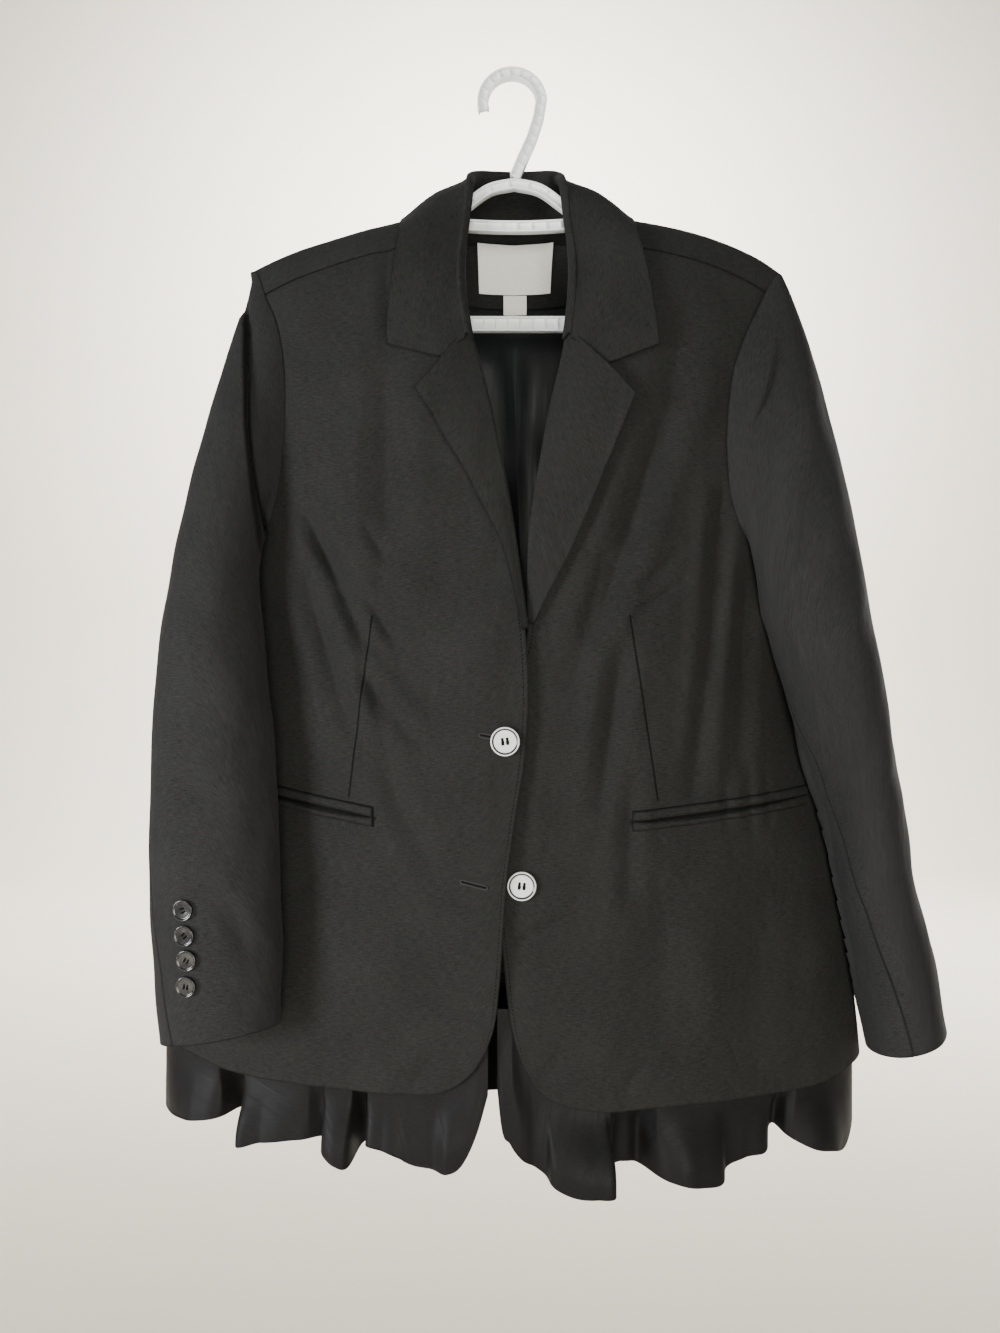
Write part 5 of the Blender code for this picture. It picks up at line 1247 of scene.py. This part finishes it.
def vector_node(tree, operation, first, second):
    """A vector math node on values or outputs; a dot product or a distance gives a number."""
    made = add(tree, "VectorMath", {0: first, "Scale" if operation == "SCALE" else 1: second}, operation=operation)
    return made.outputs["Value" if operation in ("DOT_PRODUCT", "DISTANCE") else "Vector"]


def noise(tree, place_at, scale=1.0, detail=2.0, distortion=0.0):
    """A cloudy pattern, at a scale."""
    return add(tree, "TexNoise", {"Vector": place_at, "Scale": scale, "Detail": detail,
                                  "Distortion": distortion}).outputs["Fac"]


def fade(tree, value, near, far, full=1.0):
    """A mask that is full up to a near value and eases to nothing at a far one."""
    return add(tree, "MapRange", {0: value, 1: near, 2: far, 3: full, 4: 0.0},
               interpolation_type="SMOOTHSTEP").outputs[0]


def mix(tree, share, first, second, **settings):
    """A share of the way from one colour to another."""
    return add(tree, "Mix", {0: share, 6: first, 7: second}, data_type="RGBA", **settings).outputs[2]


def attribute(tree, name):
    """A value that the piece's points hold."""
    return add(tree, "Attribute", attribute_name=name).outputs["Fac"]


def new_group(name, inputs, outputs):
    """An empty shader group with named sockets, and its two end nodes."""
    tree = bpy.data.node_groups.new(name, "ShaderNodeTree")
    for way, sockets in (("INPUT", inputs), ("OUTPUT", outputs)):
        for socket, kind in sockets.items():
            tree.interface.new_socket(name=socket, in_out=way, socket_type="NodeSocket" + kind)
    return tree, tree.nodes.new("NodeGroupInput"), tree.nodes.new("NodeGroupOutput")


def use_group(tree, group, inputs):
    """A group node's outputs in a material."""
    return add(tree, "Group", inputs, node_tree=group).outputs


def new_material(name, **numbers):
    """A material whose shader has these same-all-over numbers."""
    material = bpy.data.materials.new(name)
    material.use_nodes = True
    shader = material.node_tree.nodes["Principled BSDF"]
    for key, value in numbers.items():
        shader.inputs[key.replace("_", " ")].default_value = value
    return material, material.node_tree, shader


# %% [markdown]
# Twill is woven so that its threads step sideways from row to row, which draws fine slanting ribs. One group
# makes that weave, with slubs along the threads, and a slow change of tone from wear and dye.

# %% The weave group
WEAVE, start, end = new_group("Weave", {"Cut": "Vector", "Dark": "Color", "Light": "Color", "Rib": "Float"},
                              {"Color": "Color", "Height": "Float"})
WEFT_THREADS, WARP_THREADS, DYE_SCALE = (170.0, 1100.0, 1.0), (1500.0, 240.0, 1.0), 16.0
WEFT_SHARE, WARP_SHARE, TWILL_SHARE, TONE_GAIN, TONE_BASE, DYE_SHARE = 1.1, 0.7, 0.3, 1.2, -0.83, 0.5
cut_map = start.outputs["Cut"]
twill = add(WEAVE, "TexWave", {"Vector": vector_node(WEAVE, "SCALE", cut_map, start.outputs["Rib"]), "Scale": 1.0,
                               "Distortion": 1.5, "Detail": 1.0},
            wave_type="BANDS", bands_direction="DIAGONAL").outputs["Fac"]
weft, warp = (noise(WEAVE, vector_node(WEAVE, "MULTIPLY", cut_map, size)) for size in (WEFT_THREADS, WARP_THREADS))
dye = noise(WEAVE, cut_map, DYE_SCALE, 4.0)
threads = math_node(WEAVE, "ADD", math_node(WEAVE, "MULTIPLY", weft, WEFT_SHARE),
                    math_node(WEAVE, "MULTIPLY", warp, WARP_SHARE))
woven = math_node(WEAVE, "ADD", threads, math_node(WEAVE, "MULTIPLY", twill, TWILL_SHARE))
tone = math_node(WEAVE, "ADD", math_node(WEAVE, "MULTIPLY_ADD", threads, TONE_GAIN, TONE_BASE),
                 math_node(WEAVE, "MULTIPLY", dye, DYE_SHARE))
WEAVE.links.new(mix(WEAVE, tone, start.outputs["Dark"], start.outputs["Light"]), end.inputs["Color"])
WEAVE.links.new(woven, end.inputs["Height"])

# %% [markdown]
# A worn jacket is never quite flat. The rumple group draws shallow crumples, longer than they are wide, that
# lie across each other; the cloth's bump adds them to the folds that are modelled.

# %% The rumple group
RUMPLE, start, end = new_group("Rumple", {"Place": "Vector"}, {"Height": "Float"})
CRUMPLES = ((0.5, (24.0, 18.0, 11.0), 0.8), (-0.8, (42.0, 30.0, 22.0), 0.35), (1.3, (90.0, 60.0, 55.0), 0.09))
total = None
for turn, size, share in CRUMPLES:
    laid = add(RUMPLE, "Mapping", {"Vector": start.outputs["Place"], "Rotation": (0.0, turn, 0.0), "Scale": size})
    cloud = noise(RUMPLE, laid.outputs[0], distortion=0.7)
    ridge = math_node(RUMPLE, "ABSOLUTE", math_node(RUMPLE, "MULTIPLY_ADD", cloud, 2.0, -1.0))
    layer = math_node(RUMPLE, "MULTIPLY", math_node(RUMPLE, "SMOOTH_MIN", ridge, 0.45, 0.25), share)
    total = layer if total is None else math_node(RUMPLE, "ADD", total, layer)
RUMPLE.links.new(total, end.inputs["Height"])

# %% [markdown]
# A seam or a dart is a thin line where two edges turn in. The group below marks the places near a straight
# line from one point of the front to another.

# %% The seam line group
SEAM, start, end = new_group("Seam_line", {"Place": "Vector", "From": "Vector", "To": "Vector", "Width": "Float"},
                             {"Mask": "Float"})
flat = vector_node(SEAM, "MULTIPLY", start.outputs["Place"], (1.0, 0.0, 1.0))
way = vector_node(SEAM, "SUBTRACT", start.outputs["To"], start.outputs["From"])
gone = vector_node(SEAM, "SUBTRACT", flat, start.outputs["From"])
dots = [vector_node(SEAM, "DOT_PRODUCT", line, way) for line in (gone, way)]
part = add(SEAM, "Clamp", {0: math_node(SEAM, "DIVIDE", *dots)}).outputs[0]
off = vector_node(SEAM, "DISTANCE", gone, vector_node(SEAM, "SCALE", way, part))
SEAM.links.new(fade(SEAM, off, 0.0, start.outputs["Width"]), end.inputs["Mask"])

# %% [markdown]
# The suiting is matt, with a faint sheen from its fibres. Fronts add dark lines: the dart, the seams round the
# pocket and a row of fine stitches close to the edge, and painted shade in the pocket's mouth and the buttonholes'
# slits. Every piece also has a painted shade along its own border, where the cloth turns in to a seam or a fold;
# the sleeves add a painted shade line along the head's fold and wear a lighter, bluer copy as painted light.

# %% Suiting
SUITING_DARK, SUITING_LIGHT = (0.0076, 0.0077, 0.0074, 1), (0.0250, 0.0252, 0.0242, 1)
# Painted light: the sleeves take a lighter, bluer copy of the suiting than the body, for the brighter, cooler light
# on them.
SLEEVE_LIT_DARK, SLEEVE_LIT_LIGHT = (0.0088, 0.0089, 0.0092, 1), (0.0288, 0.0290, 0.0294, 1)
# The dark tone that seams and stitches take, and that every painted shade (borders, folds, openings, flounce insides)
# is multiplied towards.
SEAM_AND_SHADE_DARK = (0.06, 0.06, 0.06, 1)
RUMPLE_DEPTH, EDGE_WIDTH, EDGE_SHADE, MARK_SHADE = 0.0016, 0.0018, 0.55, 0.95
FOLD_AT, FOLD_LINE, FOLD_WIDTH, FOLD_SHADE = 0.0008, 0.0003, 0.0034, 0.85
STITCH_AT, STITCH_HALF, STITCHES, STITCH_GAP = 0.0042, 0.0004, 2100.0, -0.2
SUITING_RIB, SUITING_BUMP, SUITING_DEPTH, MARK_DEPTH = 520.0, 0.35, 0.0004, 2.5
SEAM_WIDTH, DART_WIDTH, MOUTH_WIDTH, MOUTH_DOWN, WELT_SEAM = 0.0011, 0.0013, 0.0040, 0.0010, 0.0004
DARTS = {"right": ((-0.110, -0.443), (-0.1285, -0.582)), "left": ((0.0870, -0.443), (0.1090, -0.584))}


def front_lines(side):
    """The dark lines of a front: where each starts and ends, and its half width. The dart and the seams are seam
    lines; the pocket's mouth and the buttonholes' slits are painted shade in their openings.
    """
    ends = np.array(POCKETS[side]) * (1, -1)
    rim = np.array([0.0, WELT_SLIT / 2 + WELT_HEIGHT + WELT_SEAM])
    # The pocket's mouth and the buttonholes' slits are painted shade in openings; the dart and the welts' seams are
    # seam lines.
    lines = [(*DARTS[side], DART_WIDTH), (*(ends - (0.0, MOUTH_DOWN)), MOUTH_WIDTH), (*(ends + rim), SEAM_WIDTH),
             (*(ends - rim), SEAM_WIDTH), (ends[0] + rim, ends[0] - rim, SEAM_WIDTH)]
    slits = [(*(np.array(slit) * (1, -1)), SEAM_WIDTH) for owner, *slit in BUTTONHOLES.values() if owner == side]
    return lines + slits


def suiting(name, lines=(), stitched=False, folded=False, tones=(SUITING_DARK, SUITING_LIGHT)):
    """The blazer's cloth, for a piece with or without dark lines, edge stitches and a painted shade line along a
    sharp fold.
    """
    material, tree, shader = new_material(name, Roughness=0.82, Sheen_Weight=0.03, Sheen_Roughness=0.45,
                                          Specular_IOR_Level=0.10)
    cut = add(tree, "UVMap", uv_map="cut").outputs["UV"]
    weave = use_group(tree, WEAVE, {"Cut": cut, "Dark": tones[0], "Light": tones[1], "Rib": SUITING_RIB})
    here = add(tree, "TexCoord").outputs["Object"]
    # Painted shade: every piece darkens towards its own border, where the cloth turns in.
    marks = [fade(tree, attribute(tree, "border"), 0.0, EDGE_WIDTH, EDGE_SHADE)]
    for start, end, width in lines:
        seam = {"Place": here, "From": (start[0], 0, start[1]), "To": (end[0], 0, end[1]), "Width": width}
        marks.append(use_group(tree, SEAM, seam)["Mask"])
    # Painted shade: a dark line along the sleeve head's fold.
    if folded:
        off = math_node(tree, "ABSOLUTE", math_node(tree, "SUBTRACT", attribute(tree, "fold_shade_offset"), FOLD_AT))
        marks.append(fade(tree, off, FOLD_LINE, FOLD_WIDTH, FOLD_SHADE))
    if stitched:
        across, down, _ = add(tree, "SeparateXYZ", {0: cut}).outputs
        near = math_node(tree, "COMPARE", across, STITCH_AT, STITCH_HALF)
        wave = math_node(tree, "SINE", math_node(tree, "MULTIPLY", down, STITCHES))
        marks.append(math_node(tree, "MULTIPLY", near, math_node(tree, "GREATER_THAN", wave, STITCH_GAP)))
    dark = marks[0]
    for other in marks[1:]:
        dark = math_node(tree, "MAXIMUM", dark, other)
    colour = mix(tree, math_node(tree, "MULTIPLY", dark, MARK_SHADE), weave["Color"], SEAM_AND_SHADE_DARK, blend_type="MULTIPLY")
    height = math_node(tree, "SUBTRACT", weave["Height"], math_node(tree, "MULTIPLY", dark, MARK_DEPTH))
    crumples = use_group(tree, RUMPLE, {"Place": here})["Height"]
    crumpled = add(tree, "Bump", {"Height": crumples, "Strength": 1.0, "Distance": RUMPLE_DEPTH}).outputs[0]
    bump = add(tree, "Bump", {"Height": height, "Strength": SUITING_BUMP, "Distance": SUITING_DEPTH,
                              "Normal": crumpled})
    tree.links.new(colour, shader.inputs["Base Color"])
    tree.links.new(bump.outputs[0], shader.inputs["Normal"])
    return material


PLAIN = suiting("suiting")
# Painted light: the sleeves' lighter, bluer copy of the suiting.
LIT_SLEEVE_CLOTH = suiting("suiting_lit_sleeve", folded=True, tones=(SLEEVE_LIT_DARK, SLEEVE_LIT_LIGHT))
FRONT_CLOTH = {side + "_front": suiting(f"suiting_{side}_front", front_lines(side), True) for side in DARTS}

# %% [markdown]
# Satin floats long threads over its face, so it shines along soft streaks. The flounce is black, and its inner
# face gets a painted shade and is made matt; the lining is a dark grey with a little blue-green and is smoother
# still. The labels are a plain cream weave.

# %% Satin, lining and label
SATIN_THREADS, SATIN_RIB, SATIN_WEAVE, SATIN_DEPTH, SATIN_ROUGH = (420.0, 18.0, 1.0), 900.0, 0.3, 0.0006, (0.08, 0.10)


def satin(name, dark, light, streak, **numbers):
    """A shiny cloth with streaks along its length. Where a piece marks its inner face, that face gets a painted shade
    and is made matt.
    """
    material, tree, shader = new_material(name, **numbers)
    cut = add(tree, "UVMap", uv_map="cut").outputs["UV"]
    weave = use_group(tree, WEAVE, {"Cut": cut, "Dark": dark, "Light": light, "Rib": SATIN_RIB})
    streaks = noise(tree, vector_node(tree, "MULTIPLY", cut, SATIN_THREADS), detail=3.0)
    rough = add(tree, "MapRange", {0: streaks, 1: 0.3, 2: 0.7, 3: numbers["Roughness"] - SATIN_ROUGH[0],
                                   4: numbers["Roughness"] + SATIN_ROUGH[1]})
    height = math_node(tree, "ADD", streaks, math_node(tree, "MULTIPLY", weave["Height"], SATIN_WEAVE))
    bump = add(tree, "Bump", {"Height": height, "Strength": streak, "Distance": SATIN_DEPTH})
    # Painted shade: the marked inner face is darkened towards the dark tone, and made matt.
    inside = attribute(tree, "inside")
    colour = mix(tree, inside, weave["Color"], SEAM_AND_SHADE_DARK, blend_type="MULTIPLY")
    tree.links.new(colour, shader.inputs["Base Color"])
    tree.links.new(math_node(tree, "MAXIMUM", rough.outputs[0], inside), shader.inputs["Roughness"])
    tree.links.new(bump.outputs[0], shader.inputs["Normal"])
    return material


FLOUNCE_SATIN = satin("satin", (0.0044, 0.0042, 0.0044, 1), (0.0112, 0.0107, 0.0112, 1), 0.15, Roughness=0.50,
                      Sheen_Weight=0.02, Sheen_Roughness=0.4, Specular_IOR_Level=0.10)
LINING_SATIN = satin("lining", (0.0042, 0.0056, 0.0061, 1), (0.0100, 0.0124, 0.0132, 1), 0.04, Roughness=0.38,
                     Sheen_Weight=0.02, Specular_IOR_Level=0.20)
LABEL_WEAVE = satin("label", (0.86, 0.85, 0.79, 1), (0.96, 0.95, 0.89, 1), 0.2, Roughness=0.75,
                    Sheen_Weight=0.2, Specular_IOR_Level=0.3)

# %% [markdown]
# The buttons and the hanger are moulded plastic. Pale buttons have a clouded pearl face with a dark line
# inside the rim; the hanger is milky white and slightly uneven, with a soft shine.

# %% Plastics
RING_AT, RING_EDGE, RING_COLOUR = 0.0092, (0.0004, 0.0009), (0.008, 0.008, 0.008, 1)
SKIN_SCALE, SKIN_DEPTH, SKIN_ROUGH = 900.0, 0.0003, (0.05, 0.08)


def plastic(name, dark, light, scale, bump_height, ringed=False, **numbers):
    """A moulded plastic with clouded colour and a slightly uneven skin, and on buttons a dark ring."""
    material, tree, shader = new_material(name, **numbers)
    here = add(tree, "TexCoord").outputs["Object"]
    colour = mix(tree, noise(tree, here, scale, 5.0, 0.6), dark, light)
    if ringed:
        off = math_node(tree, "ABSOLUTE", math_node(tree, "SUBTRACT", attribute(tree, "radius"), RING_AT))
        colour = mix(tree, fade(tree, off, *RING_EDGE), colour, RING_COLOUR)
    skin = noise(tree, here, SKIN_SCALE)
    bump = add(tree, "Bump", {"Height": skin, "Strength": bump_height, "Distance": SKIN_DEPTH})
    rough = add(tree, "MapRange", {0: skin, 3: numbers["Roughness"] - SKIN_ROUGH[0],
                                   4: numbers["Roughness"] + SKIN_ROUGH[1]})
    tree.links.new(colour, shader.inputs["Base Color"])
    tree.links.new(rough.outputs[0], shader.inputs["Roughness"])
    tree.links.new(bump.outputs[0], shader.inputs["Normal"])
    return material


PALE_PLASTIC = plastic("pale_button", (0.52, 0.52, 0.52, 1), (0.74, 0.74, 0.73, 1), 260.0, 0.05, True,
                       Roughness=0.30, Coat_Weight=0.3)
DARK_PLASTIC = plastic("dark_button", (0.004, 0.004, 0.0045, 1), (0.016, 0.0155, 0.016, 1), 200.0, 0.05,
                       Roughness=0.16, Coat_Weight=0.35, Specular_IOR_Level=0.5)
HANGER_PLASTIC = plastic("hanger", (0.78, 0.80, 0.80, 1), (0.90, 0.92, 0.92, 1), 40.0, 0.10, Roughness=0.35,
                         Coat_Weight=0.2)
HOLE_YARN = plastic("buttonhole_thread", (0.010, 0.010, 0.0095, 1), (0.026, 0.026, 0.025, 1), 3000.0, 0.6,
                    Roughness=0.80)
THREAD_YARN = plastic("thread", (0.003, 0.003, 0.003, 1), (0.008, 0.008, 0.008, 1), 3000.0, 0.6, Roughness=0.85,
                      Specular_IOR_Level=0.1)

# %% [markdown]
# ## Putting it together
# Each piece takes its material, rides on the frame's one body and names the CAD node that it stands for. Each
# cloth piece has printed its size when it was made: its width and length along the grid, and its area.

# %% Dress the pieces
SHAPES = {"flounce": ("satin", FLOUNCE_SATIN, "gathered", ["right_front", "left_front", "back"]),
          "lining": ("lining", LINING_SATIN, "hung", ["back_neck_facing"]),
          "label": ("label", LABEL_WEAVE, "hung", ["back_neck_facing"]),
          "tab": ("label", LABEL_WEAVE, "hung", ["neck_label"]),
          "sleeve": ("suiting", LIT_SLEEVE_CLOTH, "hung", ["right_front", "left_front", "back"]),
          "lapel": ("suiting", PLAIN, "folded", ["right_front", "left_front"]),
          "collar": ("suiting", PLAIN, "folded", ["back"]),
          "welt": ("suiting", PLAIN, "folded", ["right_front", "left_front"]),
          "facing": ("suiting", PLAIN, "hung", ["back"]),
          "front": ("suiting", None, "hung", ["hanger_arms"]),
          "back": ("suiting", PLAIN, "hung", ["hanger_arms"])}


def dress(piece, material):
    """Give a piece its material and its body."""
    piece.data.materials.clear()
    piece.data.materials.append(material)
    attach(piece, "root")


for name, made in SHEETS.items():
    slot, material, held, on = SHAPES[name.split("_")[-1]]
    dress(made, material or FRONT_CLOTH[name])
    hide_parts(name)
for pieces, slot, material in ((PALE, "pale_button", PALE_PLASTIC), (DARK, "dark_button", DARK_PLASTIC),
                               (THREADS, "suiting", THREAD_YARN), (HOLES, "suiting", HOLE_YARN),
                               (HANGER, "hanger", HANGER_PLASTIC)):
    for piece in pieces:
        dress(piece, material)

# %% [markdown]
# ## The studio
# The camera looks straight on, from about a metre, and the key light comes from the viewer's left. A wide light
# in front fills the shadows and a third one shows the back. The floor is plain and pale and sweeps up behind in
# a cove; a fourth light brightens that and is turned so that none of it falls straight on the cloth.

# %% The floor and its cove
FLOOR, COVE_AT, COVE, SPREAD, RISE = -1.30, 3.4, 1.2, 16.0, 6.0
bpy.ops.mesh.primitive_plane_add(size=SPREAD, location=(0.0, COVE_AT - SPREAD / 2, FLOOR))
floor = bpy.context.object
only(floor)
floor.name = floor.data.name = "floor"
bpy.ops.object.transform_apply(location=True)
pick(floor, "EDGE", lambda edge: all(floor.data.vertices[v].co.y > COVE_AT - 0.1 for v in edge.vertices))
bpy.ops.mesh.spin(steps=16, angle=-math.pi / 2, center=(0.0, COVE_AT, FLOOR + COVE), axis=(1, 0, 0))
bpy.ops.mesh.extrude_region_move(TRANSFORM_OT_translate={"value": (0.0, 0.0, RISE)})
bpy.ops.mesh.select_all(action="SELECT")
bpy.ops.mesh.remove_doubles(threshold=0.0001)
bpy.ops.mesh.normals_make_consistent(inside=False)
bpy.ops.object.mode_set(mode="OBJECT")
bpy.ops.object.shade_smooth()
material, tree, shader = new_material("floor", Roughness=0.9)
grain = noise(tree, add(tree, "TexCoord").outputs["Object"], 3.0)
tree.links.new(mix(tree, grain, (0.77, 0.71, 0.60, 1), (0.81, 0.75, 0.64, 1)), shader.inputs["Base Color"])
floor.data.materials.append(material)
print("cove:", len(floor.data.polygons), "faces, back to y", round(max(v.co.y for v in floor.data.vertices), 2))

# %% Lights and camera
world = bpy.context.scene.world = bpy.data.worlds.new("room")
world.use_nodes = True
sky = world.node_tree.nodes["Background"].inputs
sky["Color"].default_value, sky["Strength"].default_value = (0.60, 0.60, 0.62, 1), 0.42


def panel_light(name, place_at, aim, size, power, tint):
    """A square panel light of a tint, aimed at a point."""
    light = bpy.data.lights.new(name, "AREA")
    light.size, light.energy, light.color = size, power, tint
    made = new_object(name, light)
    made.location = place_at
    made.rotation_euler = (Vector(aim) - Vector(place_at)).to_track_quat("-Z", "Y").to_euler()


panel_light("key", (-2.05, -1.50, -0.55), (0.0, 0.0, -0.45), 0.7, 72.0, (0.96, 0.97, 1.0))
panel_light("fill", (0.25, -2.6, -0.60), (0.0, 0.0, -0.5), 1.4, 62.0, (1.0, 1.0, 0.91))
panel_light("back", (2.7, 2.0, -0.1), (0.0, 0.0, -0.45), 1.0, 70.0, (1.0, 1.0, 1.0))
panel_light("cove", (0.0, 1.9, 1.9), (0.0, COVE_AT, 1.05), 1.0, 560.0, (1.0, 1.0, 1.0))

camera = bpy.context.scene.camera = new_object("camera", bpy.data.cameras.new("camera"))
camera.location = (-0.0119, -0.90, -0.4818)
camera.rotation_euler = (math.pi / 2, 0.0, 0.0)
camera.data.lens, camera.data.sensor_width = 29.64, 36.0
camera.data.clip_start = 0.01
